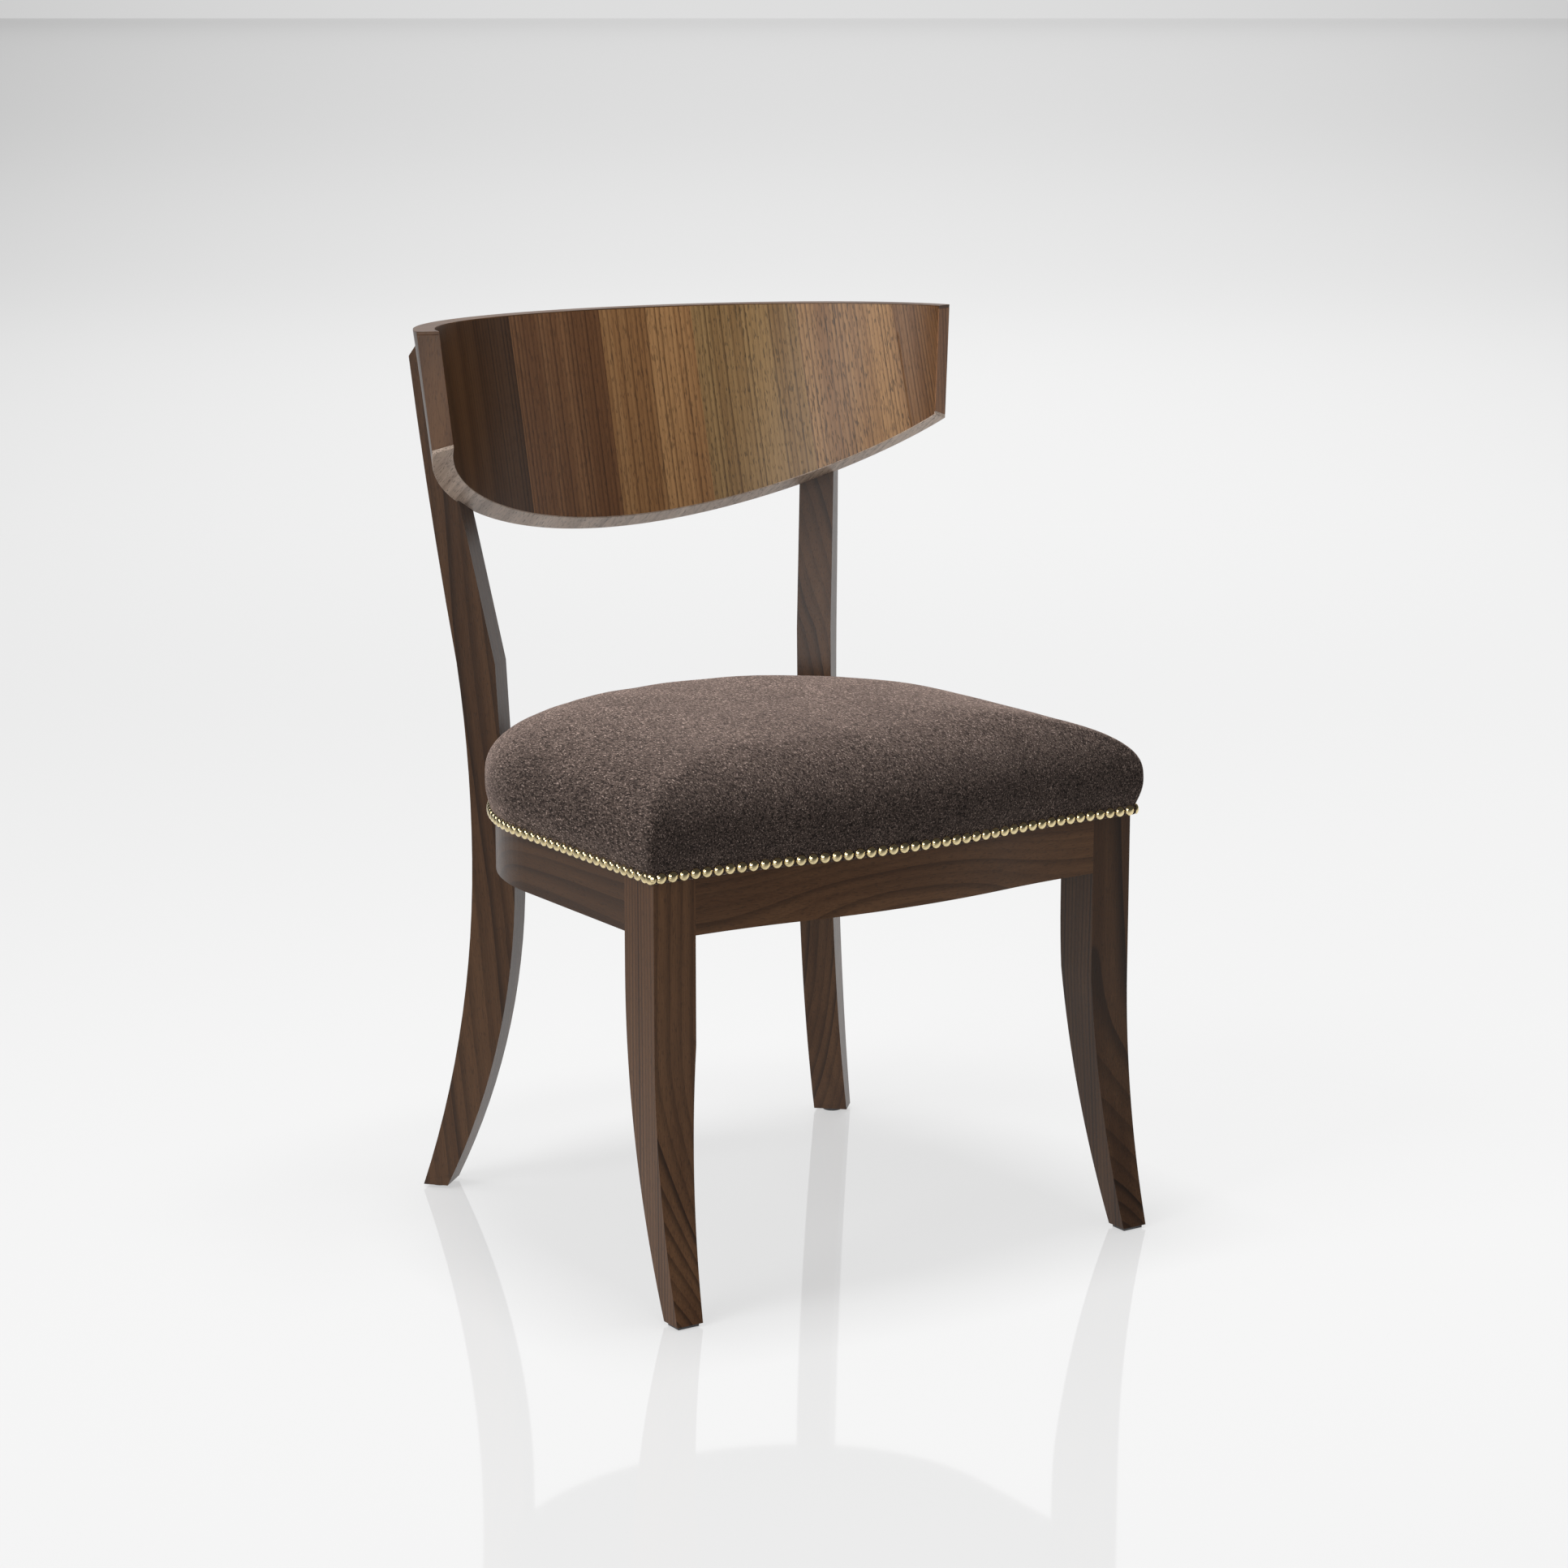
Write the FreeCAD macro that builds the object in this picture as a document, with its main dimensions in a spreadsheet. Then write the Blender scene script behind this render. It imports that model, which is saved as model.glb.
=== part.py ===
import FreeCAD, Part
import math
import os
import Sketcher
from FreeCAD import Placement, Rotation, Vector

# Klismos dining chair, millimetres, +Z up, front towards -Y, origin on the floor under the middle.
# Left is -X and right is +X. Each piece is built on the right and mirrored where it has a twin.

doc = FreeCAD.newDocument("klismos_chair")

# Driving dimensions
SIZES = [
    # overall
    ("chair_top", 830, "top of the back panel above the floor"),
    ("glide_thick", 3, "thickness of the pad under each foot"),
    # front legs
    ("front_half", 256, "middle to the outer face of a front leg"),
    ("leg_wide", 42, "front leg, side to side at the rails"),
    ("leg_front", -230.4, "front face of the front leg at the rails"),
    ("leg_deep", 47.9, "front leg, front to back at the rails"),
    ("foot_wide", 26, "front foot, side to side"),
    ("foot_deep", 22, "front foot, front to back"),
    ("foot_reach", 34.6, "how far the foot stands forward of the rail"),
    ("sweep_front", 240, "height where the front face starts to sweep"),
    ("sweep_back", 300, "height where the back face starts to sweep"),
    ("taper_top", 240, "height where the inner face starts to taper"),
    # seat rails
    ("rail_low", 337, "underside of the rails"),
    ("rail_high", 415, "top of the rails, under the cover"),
    ("rail_thick", 28, "thickness of the rails"),
    ("bow", 15.5, "how far the front rail bows out"),
    ("side_turn", -10, "where the side rail leaves its straight line"),
    ("side_bend", 212, "outer bend of the side rail"),
    ("joint_turn", 60, "turn of the side rail at the joint with the rear rail"),
    ("tenon_thick", 12, "thickness of the tenons"),
    ("tenon_set", 8, "outer face of the rail to the tenon"),
    ("tenon_margin", 13, "edge of the rail to the tenon"),
    ("front_tenon", 30, "length of the front rail tenons"),
    ("side_tenon", 24, "length of the side rail tenons"),
    ("tenon_fit", 0.1, "clearance round a tenon"),
    ("tenon_relief", 1, "clearance at the end of a tenon"),
    ("dowel_bore", 10, "dowel diameter"),
    ("dowel_long", 40, "dowel length"),
    ("dowel_margin", 10, "edge of the rail to the dowel centre"),
    # rear legs: a board, drawn as reach outward against height
    ("board_thick", 33.75, "thickness of the rear leg board"),
    ("leg_place", 53.9, "where the rear leg meets the bend of the side rail"),
    ("leg_turn", 46.9, "direction of the rear leg board from +X"),
    ("leg_splay", 1.07, "outward lean of the board towards the floor"),
    ("heel_front", 68.9, "reach of the front edge at the floor"),
    ("heel_back", 92.5, "reach of the back edge at the floor"),
    ("shin_front", -2.7, "reach of the front edge under the rail"),
    ("shin_high", 305, "height where the front edge is upright"),
    ("calf_back", 39.2, "reach of the back edge where it is upright"),
    ("calf_high", 325, "height where the back edge is upright"),
    ("seat_let", 12, "stock left for scribing the leg to the rail"),
    ("seat_ledge", 9, "reach of the front edge just above the rail"),
    ("kink_share", 0.2337, "kink of the front edge above the rails, as a share of the back"),
    ("kink_front", 14.7, "reach of the front edge at the kink"),
    ("kink_back", 52.3, "reach of the back edge at the kink"),
    ("spine_bend", 5460, "slow curve of the back edge above the kink"),
    ("rest_drop", 158, "top of the panel down to where the front edge meets it"),
    ("rest_front", 50, "reach of the front edge where it meets the panel"),
    ("stile_drop", 15, "top of the panel down to the top of the rear leg"),
    ("crown_front", 83, "reach where the slanted top starts"),
    ("crown_back", 95.3, "reach of the back edge at the slanted top"),
    ("crown_drop", 33, "top of the panel down to the back edge of the slanted top"),
    # back panel
    ("panel_thick", 19.8, "thickness of the back panel"),
    ("panel_apex", 245.2, "inner face of the panel at its middle"),
    ("top_flare", 19.6, "inner curve outside the front legs at the top"),
    ("top_depth", 164.3, "depth of the inner curve at the top"),
    ("low_drop", 230, "height between the top curve and the low one"),
    ("low_flare", 11.1, "inner curve outside the front legs low down"),
    ("low_depth", 233.6, "depth of the inner curve low down"),
    ("panel_tall", 201.6, "height of the inner face at the middle"),
    ("panel_slope", 32.75, "slope of the lower edge, down to the back"),
    ("end_flare", 18, "inner corner of the panel end outside the front legs"),
    ("end_y", 101.3, "inner corner of the panel end, lengthways"),
    ("end_turn", 24.5, "direction of the panel end face from +X"),
    ("end_lean", 1.5, "forward lean of the panel end towards its foot"),
    ("veneer_thick", 0.9, "veneer on both faces"),
    ("glue_line", 0.1, "glue between the veneers and the core"),
    ("lipping", 3, "solid lipping round the panel"),
    ("seam_one", -54, "first seam between the front leaves, as a turn round the curve"),
    ("seam_two", -26, "second seam"),
    ("seam_three", -2, "third seam"),
    ("seam_four", 19, "fourth seam"),
    ("seam_five", 42.8, "fifth seam"),
    ("seam_six", 68.7, "sixth seam"),
    ("seam_lean", 7.8, "lean of the seams and the grain along the curve"),
    # upholstery
    ("cover_low", 388, "lower edge of the cover"),
    ("cover_proud", 5, "cover outside the rails at its lower edge"),
    ("cover_bulge", 5.2, "swell of the cover above its lower edge"),
    ("box_high", 422, "height where the sides turn into the crown"),
    ("crown_rise", 62.3, "rise of the crown above the sides"),
    ("crown_place", -13, "highest point of the crown, lengthways"),
    ("cover_thick", 2.5, "thickness of the cover and its wadding"),
    ("hem_high", 10, "height of the folded hem"),
    ("corner_round", 5, "rounding of the boxed front corners"),
    ("web_wide", 50, "width of a webbing strip"),
    ("web_thick", 1.6, "thickness of the webbing"),
    ("web_inset", 8, "outer face of the rails to the webbing ends"),
    ("hessian_thick", 1, "thickness of the hessian"),
    ("dust_thick", 0.8, "thickness of the dust cloth"),
    ("dust_inset", 6, "outer face of the rails to the dust cloth"),
    # brass nails
    ("nail_wide", 9.9, "diameter of a nail head"),
    ("nail_dome", 2.8, "height of a nail head"),
    ("nail_gap", 0.05, "clearance under a nail head"),
    ("nail_shank", 12, "length of a nail shank"),
    ("corner_shank", 7, "length of the shank at a corner"),
    ("shank_bore", 1.6, "diameter of a nail shank"),
    ("nail_high", 392.5, "height of the nail row"),
    ("nail_edge_in", 4.8, "outer face of a front leg to the last front nail"),
    ("nail_start", 10.4, "front of the cover to the first side nail"),
    ("corner_nail", 35, "turn of the corner nail from the side towards the front"),
    ("nail_pitch", 11.43, "spacing of the nails"),
    ("nail_clear", 8, "rear leg to the nearest nail centre"),
    # hidden fixings
    ("block_high", 50, "height of the corner blocks"),
    ("block_low", 350, "underside of the corner blocks"),
    ("block_front", 64, "front block along the front rail"),
    ("block_side", 62, "front block along the side rail"),
    ("rear_block", 46, "rail face at the rear leg to the back of its block"),
    ("rear_block_wide", 90, "width of the rear block"),
    ("bolt_bore", 8, "diameter of the rear leg bolts"),
    ("bolt_reach", 30, "how far a bolt runs into the rear leg"),
    ("bolt_head", 13, "bolt head across its flats"),
    ("bolt_head_high", 5, "height of the bolt head"),
    ("washer_wide", 18, "diameter of the washers"),
    ("washer_thick", 1.6, "thickness of the washers"),
    ("bolt_low", 360, "height of the lower bolt"),
    ("bolt_high", 392, "height of the upper bolt"),
    ("screw_bore", 4.5, "diameter of the wood screws"),
    ("screw_head", 8.6, "diameter of the screw heads"),
    ("screw_head_high", 3, "height of the screw heads"),
    ("block_screw", 38, "length of the corner block screws"),
    ("sink_deep", 4, "how deep the block screws are sunk"),
    ("screw_drop_low", 130, "top of the panel down to the lower back screw"),
    ("screw_drop_high", 50, "top of the panel down to the upper back screw"),
    ("back_bite", 13, "how far a back screw runs into the panel"),
    ("plug_bore", 10, "diameter of the plugs over the back screws"),
    ("plug_deep", 12, "depth of the plugged bores"),
    ("glide_inset", 2.5, "edge of the foot to its glide"),
    ("rear_glide", 19, "diameter of the rear glides"),
    ("pin_bore", 2.5, "diameter of the glide nails"),
    ("pin_head", 6, "diameter of the glide nail heads"),
    ("pin_long", 16, "length of the glide nails"),
    ("staple_long", 10, "staple crown"),
    ("staple_wire", 0.7, "staple wire"),
    ("staple_pitch", 46, "spacing of the staples"),
]

# Sizes that follow from the others
DERIVED = [
    ("leg_inner", "=front_half - leg_wide"),
    ("leg_back", "=leg_front + leg_deep"),
    ("foot_front", "=leg_front - foot_reach"),
    ("foot_back", "=leg_front - foot_reach + foot_deep"),
    ("foot_inner", "=front_half - foot_wide"),
    ("front_rise", "=sweep_front - glide_thick"),
    ("front_sweep", "=((sweep_front - glide_thick)^2 + foot_reach^2) / (2 * foot_reach)"),
    ("back_reach", "=leg_deep + foot_reach - foot_deep"),
    ("back_sweep", "=((sweep_back - glide_thick)^2 + back_reach^2) / (2 * back_reach)"),
    ("rail_tall", "=rail_high - rail_low"),
    ("rail_face", "=leg_front + rail_thick"),
    ("bow_front", "=leg_front - bow"),
    ("bow_mid", "=leg_front - bow / 2"),
    ("bow_half", "=leg_inner / 2"),
    ("bow_bend", "=(leg_inner^2 + bow^2) / (4 * bow)"),
    ("side_inner", "=front_half - rail_thick"),
    ("bend_x", "=front_half - side_bend"),
    ("bend_inner", "=side_bend - rail_thick"),
    ("joint_out_x", "=bend_x + side_bend * cos(joint_turn * 1deg)"),
    ("joint_out_y", "=side_turn + side_bend * sin(joint_turn * 1deg)"),
    ("joint_in_x", "=bend_x + bend_inner * cos(joint_turn * 1deg)"),
    ("joint_in_y", "=side_turn + bend_inner * sin(joint_turn * 1deg)"),
    ("rear_bend", "=side_bend + bend_x / cos(joint_turn * 1deg)"),
    ("rear_inner", "=rear_bend - rail_thick"),
    ("rear_middle", "=side_turn - bend_x * tan(joint_turn * 1deg)"),
    ("tenon_low", "=rail_low + tenon_margin"),
    ("tenon_tall", "=rail_high - rail_low - 2 * tenon_margin"),
    ("front_tenon_face", "=leg_front + tenon_set"),
    ("front_tenon_back", "=leg_front + tenon_set + tenon_thick"),
    ("front_tenon_end", "=leg_inner + front_tenon"),
    ("side_tenon_out", "=front_half - tenon_set"),
    ("side_tenon_in", "=front_half - tenon_set - tenon_thick"),
    ("side_tenon_end", "=leg_back - side_tenon"),
    ("side_tenon_root", "=leg_back + tenon_thick"),
    ("kink_high", "=rail_high + (chair_top - rail_high) * kink_share"),
    ("rest_high", "=chair_top - rest_drop"),
    ("stile_high", "=chair_top - stile_drop"),
    ("crown_high", "=chair_top - crown_drop"),
    ("heel_bend", "=(shin_high^2 + (heel_front - shin_front)^2) / (2 * (heel_front - shin_front))"),
    ("calf_bend", "=(calf_high^2 + (heel_back - calf_back)^2) / (2 * (heel_back - calf_back))"),
    ("kink_rise", "=kink_high - calf_high"),
    ("loin_bend", "=(kink_rise^2 + (kink_back - calf_back)^2) / (2 * (kink_back - calf_back))"),
    ("let_front", "=0 - seat_let"),
    ("top_half", "=front_half + top_flare"),
    ("low_half", "=front_half + low_flare"),
    ("end_x", "=front_half + end_flare"),
    ("panel_dip", "=chair_top - panel_tall"),
    ("back_screw_low", "=chair_top - screw_drop_low"),
    ("back_screw_high", "=chair_top - screw_drop_high"),
    ("nail_edge", "=front_half - nail_edge_in"),
]

sheet = doc.addObject("Spreadsheet::Sheet", "sizes")
for row, (alias, number, note) in enumerate(SIZES, start=1):
    sheet.set(f"A{row}", str(number))
    sheet.setAlias(f"A{row}", alias)
    sheet.set(f"B{row}", note)
for row, (alias, formula) in enumerate(DERIVED, start=len(SIZES) + 1):
    sheet.set(f"A{row}", formula)
    sheet.setAlias(f"A{row}", alias)
doc.recompute()


def size(alias):
    """Read one size from the sheet as a plain number."""
    return float(sheet.get(alias))


pieces = {}


def keep(node, item):
    """Name a finished piece, which also names its file."""
    item.Label = node
    pieces[node] = item
    return item


def feature(label, shape):
    """A piece whose form is worked out from the sheet by this script."""
    item = doc.addObject("Part::Feature", label)
    item.Shape = shape
    item.Placement = Placement()
    return item


def combine(kind, label, base, tool):
    """A cut or a common of two objects."""
    item = doc.addObject(f"Part::{kind}", label)
    item.Base = base
    item.Tool = tool
    return item


def mirror(label, source):
    """The twin of a right-hand piece on the left."""
    item = doc.addObject("Part::Mirroring", label)
    item.Source = source
    item.Normal = Vector(1, 0, 0)
    item.Base = Vector(0, 0, 0)
    return item


# Sketches: each corner is tied to two sizes, each arc to its radius

def add_sketch(body, label, role, corners, bends=None, offset=None):
    """Closed outline through the corners, with arcs where bends gives a radius and a side."""
    bends = bends or {}
    plane = [item for item in body.Origin.OriginFeatures if item.Role == role][0]
    sketch = body.newObject("Sketcher::SketchObject", label)
    sketch.AttachmentSupport = [(plane, "")]
    sketch.MapMode = "FlatFace"
    if offset:
        sketch.setExpression("AttachmentOffset.Base.z", f"sizes.{offset}")
    points = [Vector(size(across), size(along), 0) for across, along in corners]
    ends = []
    for index, start in enumerate(points):
        finish = points[(index + 1) % len(points)]
        clockwise = False
        if index in bends:
            radius, side = bends[index]
            clockwise = side > 0
            middle = arc_middle(start, finish, size(radius), side)
            edge = Part.Arc(finish, middle, start) if clockwise else Part.Arc(start, middle, finish)
        else:
            edge = Part.LineSegment(start, finish)
        number = sketch.addGeometry(edge, False)
        ends.append((number, 2, 1) if clockwise else (number, 1, 2))
    for index, (number, first, last) in enumerate(ends):
        following = ends[(index + 1) % len(ends)]
        sketch.addConstraint(Sketcher.Constraint("Coincident", number, last, following[0], following[1]))
    for index, (across, along) in enumerate(corners):
        number, first, last = ends[index]
        for direction, alias, value in (("X", across, points[index].x), ("Y", along, points[index].y)):
            rule = Sketcher.Constraint(f"Distance{direction}", -1, 1, number, first, value)
            place = sketch.addConstraint(rule)
            sketch.setExpression(f"Constraints[{place}]", f"sizes.{alias}")
    for index, (radius, side) in bends.items():
        place = sketch.addConstraint(Sketcher.Constraint("Radius", ends[index][0], size(radius)))
        sketch.setExpression(f"Constraints[{place}]", f"sizes.{radius}")
    return sketch


def arc_middle(start, finish, radius, side):
    """Middle of the arc from start to finish that swells to the left (1) or right (-1)."""
    chord = finish - start
    rise = radius - math.sqrt(radius ** 2 - (chord.Length / 2) ** 2)
    normal = Vector(-chord.y, chord.x, 0).normalize()
    return (start + finish) * 0.5 + normal * rise * side


def add_pad(body, label, sketch, length, symmetric=False, back=False):
    """Pad a sketch by a size of the sheet."""
    pad = body.newObject("PartDesign::Pad", label)
    pad.Profile = sketch
    pad.setExpression("Length", f"sizes.{length}")
    pad.Midplane = symmetric
    pad.Reversed = back
    return pad


# Outline of the seat frame in plan, offset outward by "proud"

def frame_edges(proud, corner, high):
    """Edges of the closed outline, from the middle of the front round to the right."""
    half = size("front_half") + proud
    front = size("leg_front") - proud
    bow_x, bow_y = size("bow_half"), size("bow_mid")
    bend = size("bow_bend")
    lean = math.asin(bow_x / bend)
    near = Vector(bow_x + proud * math.sin(lean), bow_y - proud * math.cos(lean), high)
    flat = Vector(size("leg_inner"), front, high)
    centre = Vector(size("bend_x"), size("side_turn"), high)
    turn = math.radians(size("joint_turn"))
    side_radius = size("side_bend") + proud
    rear_radius = size("rear_bend") + proud
    joint = centre + Vector(math.cos(turn), math.sin(turn), 0) * side_radius
    half_turn = centre + Vector(math.cos(turn / 2), math.sin(turn / 2), 0) * side_radius
    straight_end = Vector(half, size("side_turn"), high)
    quarter = lean / 2
    outer_middle = Vector(size("leg_inner") - (bend - proud) * math.sin(quarter),
                          size("leg_front") - bend + (bend - proud) * math.cos(quarter), high)
    right = [Part.Arc(near, outer_middle, flat).toShape()]
    if corner > 0:
        before = Vector(half - corner, front, high)
        after = Vector(half, front + corner, high)
        slant = corner * (1 - math.sqrt(0.5))
        knee = Vector(half - slant, front + slant, high)
        right.append(Part.makeLine(flat, before))
        right.append(Part.Arc(before, knee, after).toShape())
        right.append(Part.makeLine(after, straight_end))
    else:
        knee = Vector(half, front, high)
        right.append(Part.makeLine(flat, knee))
        right.append(Part.makeLine(knee, straight_end))
    right.append(Part.Arc(straight_end, half_turn, joint).toShape())
    far = Vector(0, size("rear_middle") + rear_radius, high)
    twin_joint = Vector(-joint.x, joint.y, high)
    rear = Part.Arc(joint, far, twin_joint).toShape()
    left = [flip(edge) for edge in reversed(right)]
    tip = Vector(0, size("bow_front") - proud, high)
    twin_near = Vector(-near.x, near.y, high)
    front_arc = Part.Arc(twin_near, tip, near).toShape()
    return [front_arc] + right + [rear] + left


def flip(edge):
    """The same line or arc on the other side of the middle."""
    first, last = edge.FirstParameter, edge.LastParameter
    points = [edge.valueAt(first + (last - first) * share) for share in (1, 0.5, 0)]
    points = [Vector(-point.x, point.y, point.z) for point in points]
    if edge.Curve.TypeId == "Part::GeomLine":
        return Part.makeLine(points[0], points[2])
    return Part.Arc(*points).toShape()


def frame_wire(proud, corner, high):
    return Part.Wire(frame_edges(proud, corner, high))


def frame_prism(proud, low, high, corner=0):
    """The whole plan area inside an offset of the frame, between two heights."""
    face = Part.Face(frame_wire(proud, corner, low))
    return face.extrude(Vector(0, 0, high - low))


# Rear leg board: its own axes are reach (X), thickness (Y) and height (Z)

def leg_base():
    """Where the middle of the rear leg meets the outer face of the side rail."""
    turn = math.radians(size("leg_place"))
    centre = Vector(size("bend_x"), size("side_turn"), 0)
    return centre + Vector(math.cos(turn), math.sin(turn), 0) * size("side_bend")


def leg_placement():
    """Turn the board outward and lean it about the height of the rail's underside."""
    pivot = Vector(0, 0, size("rail_low"))
    lean = Placement(pivot, Rotation(Vector(1, 0, 0), -size("leg_splay"))) * Placement(-pivot, Rotation())
    turn = Placement(leg_base(), Rotation(Vector(0, 0, 1), size("leg_turn")))
    return turn * lean


def along_leg(reach, high):
    """A point on the middle plane of the rear leg."""
    return leg_placement().multVec(Vector(reach, 0, high))


def leg_direction():
    turn = math.radians(size("leg_turn"))
    return Vector(math.cos(turn), math.sin(turn), 0)


# Back panel: faces are ruled between two half ellipses that share their middle

def ellipse_loft(label, grow):
    """Solid inside the panel's inner face grown outward by a thickness."""
    levels = []
    for part, half, depth, drop in (("top", "top_half", "top_depth", "0"),
                                    ("low", "low_half", "low_depth", "low_drop")):
        curve = doc.addObject("Part::Ellipse", f"{label}_{part}")
        curve.setExpression("MajorRadius", f"sizes.{half} + {grow}")
        curve.setExpression("MinorRadius", f"sizes.{depth} + {grow}")
        curve.setExpression("Placement.Base.y", f"sizes.panel_apex - sizes.{depth}")
        high = "sizes.chair_top" if drop == "0" else f"sizes.chair_top - sizes.{drop}"
        curve.setExpression("Placement.Base.z", high)
        levels.append(curve)
    loft = doc.addObject("Part::Loft", label)
    loft.Sections = list(reversed(levels))
    loft.Solid = True
    loft.Ruled = True
    return loft


def half_space(point, normal):
    """A very large block on the side of a plane that its normal points to."""
    reach = 4 * size("chair_top")
    block = Part.makeBox(reach, reach, reach, Vector(-reach / 2, -reach / 2, 0))
    block.Placement = Placement(point, Rotation(Vector(0, 0, 1), normal))
    return block


def lower_plane(inset):
    """Point and upward normal of the panel's slanting lower edge, moved in by an inset."""
    slope = math.radians(size("panel_slope"))
    normal = Vector(0, math.sin(slope), math.cos(slope))
    return Vector(0, size("panel_apex"), size("panel_dip")) + normal * inset, normal


def end_plane(inset):
    """Point and backward normal of the right end face, moved in by an inset."""
    turn = Rotation(Vector(0, 0, 1), size("end_turn"))
    lean = Rotation(Vector(1, 0, 0), -size("end_lean"))
    normal = turn.multVec(lean.multVec(Vector(0, 1, 0)))
    return Vector(size("end_x"), size("end_y"), size("chair_top")) + normal * inset, normal


def panel_window(inset):
    """The space between the four edge planes of the panel."""
    reach = 4 * size("chair_top")
    low_point, low_normal = lower_plane(inset)
    end_point, end_normal = end_plane(inset)
    window = Part.makeBox(reach, reach, reach, Vector(-reach / 2, 0, size("chair_top") - inset - reach))
    window = window.common(half_space(low_point, low_normal))
    window = window.common(half_space(end_point, end_normal))
    twin_point = Vector(-end_point.x, end_point.y, end_point.z)
    twin_normal = Vector(-end_normal.x, end_normal.y, end_normal.z)
    return window.common(half_space(twin_point, twin_normal))


def seam_place(turn, high):
    """Sideways place of a seam at a height; it leans along the curve."""
    turn, lean = math.radians(turn), math.radians(size("seam_lean"))
    middle = size("chair_top") - size("low_drop") / 2
    half = (size("top_half") + size("low_half")) / 2
    taper = (size("top_half") - size("low_half")) / size("low_drop")
    slope = math.tan(lean) * math.cos(turn) - taper * math.sin(turn)
    return half * math.sin(turn) + (middle - high) * slope


def leaf_zones():
    """The spaces between the leaning seams, from left to right."""
    top, foot = size("chair_top"), size("chair_top") - size("low_drop")
    reach = size("top_half") + size("panel_thick")
    seams = [(-reach, -reach)]
    for number in ("one", "two", "three", "four", "five", "six"):
        turn = size(f"seam_{number}")
        seams.append((seam_place(turn, top), seam_place(turn, foot)))
    seams.append((reach, reach))
    zones = []
    for left, right in zip(seams, seams[1:]):
        corners = [(left[0], top), (right[0], top), (right[1], foot), (left[1], foot), (left[0], top)]
        outline = Part.makePolygon([Vector(x, -reach, high) for x, high in corners])
        zones.append(Part.Face(outline).extrude(Vector(0, 3 * reach, 0)))
    return zones


def panel_rear_reach(high):
    """Reach along the rear leg at which its middle plane meets the panel's rear face."""
    share = (size("chair_top") - high) / size("low_drop")
    thick = size("panel_thick")
    half = size("top_half") + (size("low_half") - size("top_half")) * share + thick
    depth = size("top_depth") + (size("low_depth") - size("top_depth")) * share + thick
    middle = size("panel_apex") + thick - depth
    inside, outside = 0, size("crown_back")
    for step in range(40):
        reach = (inside + outside) / 2
        point = along_leg(reach, high)
        if (point.x / half) ** 2 + ((point.y - middle) / depth) ** 2 < 1:
            inside = reach
        else:
            outside = reach
    return inside


def leg_back_reach(high):
    """Reach of the straight upper back edge of the rear leg."""
    slope = (size("crown_back") - size("kink_back")) / (size("crown_high") - size("kink_high"))
    return size("kink_back") + slope * (high - size("kink_high"))


# Fixings

def rod(diameter, start, direction, length):
    return Part.makeCylinder(diameter / 2, length, start, direction)


def wood_screw(start, direction, length):
    """Shank with a countersunk head whose top lies at start."""
    head = Part.makeCone(size("screw_head") / 2, size("screw_bore") / 2, size("screw_head_high"),
                         start, direction)
    return head.fuse(rod(size("screw_bore"), start, direction, length)).removeSplitter()


def hex_bolt(seat, direction, length):
    """Hexagon head behind its seat, with the shank running along the direction."""
    radius = size("bolt_head") / math.sqrt(3)
    corners = [Vector(radius * math.cos(math.radians(60 * step)), radius * math.sin(math.radians(60 * step)), 0)
               for step in range(7)]
    head = Part.Face(Part.makePolygon(corners)).extrude(Vector(0, 0, -size("bolt_head_high")))
    head.Placement = Placement(seat, Rotation(Vector(0, 0, 1), direction))
    return head.fuse(rod(size("bolt_bore"), seat, direction, length)).removeSplitter()


def brass_nail(point, outward, shank):
    """Domed head just off the cover at point, with its shank driven in."""
    radius = size("nail_wide") / 2
    dome = size("nail_dome")
    sphere = (radius ** 2 + dome ** 2) / (2 * dome)
    seat = point + outward * size("nail_gap")
    ball = Part.makeSphere(sphere, seat - outward * (sphere - dome), outward)
    slab = rod(2 * size("nail_wide"), seat, outward, 2 * dome)
    head = ball.common(slab)
    return head.fuse(rod(size("shank_bore"), seat, -outward, shank + size("nail_gap"))).removeSplitter()


def nail_bore(point, outward, shank):
    """Hole for one shank, open at the surface."""
    return rod(size("shank_bore"), point + outward, -outward, shank + 1)


# Front legs

def front_leg():
    body = doc.addObject("PartDesign::Body", "front_leg_body")
    corners = [("leg_front", "rail_high"), ("leg_front", "sweep_front"), ("foot_front", "glide_thick"),
               ("foot_back", "glide_thick"), ("leg_back", "sweep_back"), ("leg_back", "rail_high")]
    bends = {1: ("front_sweep", 1), 3: ("back_sweep", -1)}
    side = add_sketch(body, "front_leg_side", "YZ_Plane", corners, bends, "leg_inner")
    add_pad(body, "front_leg_blank", side, "leg_wide")
    doc.recompute()
    return body


def front_leg_taper():
    """Wedge that is planed off the inner face."""
    inner, foot = size("leg_inner"), size("foot_inner")
    slope = (foot - inner) / (size("taper_top") - size("glide_thick"))
    reach = size("leg_deep") + size("foot_reach")
    corners = [Vector(inner, 0, size("taper_top")),
               Vector(inner + slope * size("taper_top"), 0, 0),
               Vector(inner - size("leg_wide"), 0, 0),
               Vector(inner - size("leg_wide"), 0, size("taper_top"))]
    face = Part.Face(Part.makePolygon(corners + corners[:1]))
    face.translate(Vector(0, size("foot_front") - reach, 0))
    return face.extrude(Vector(0, 3 * reach, 0))


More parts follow.
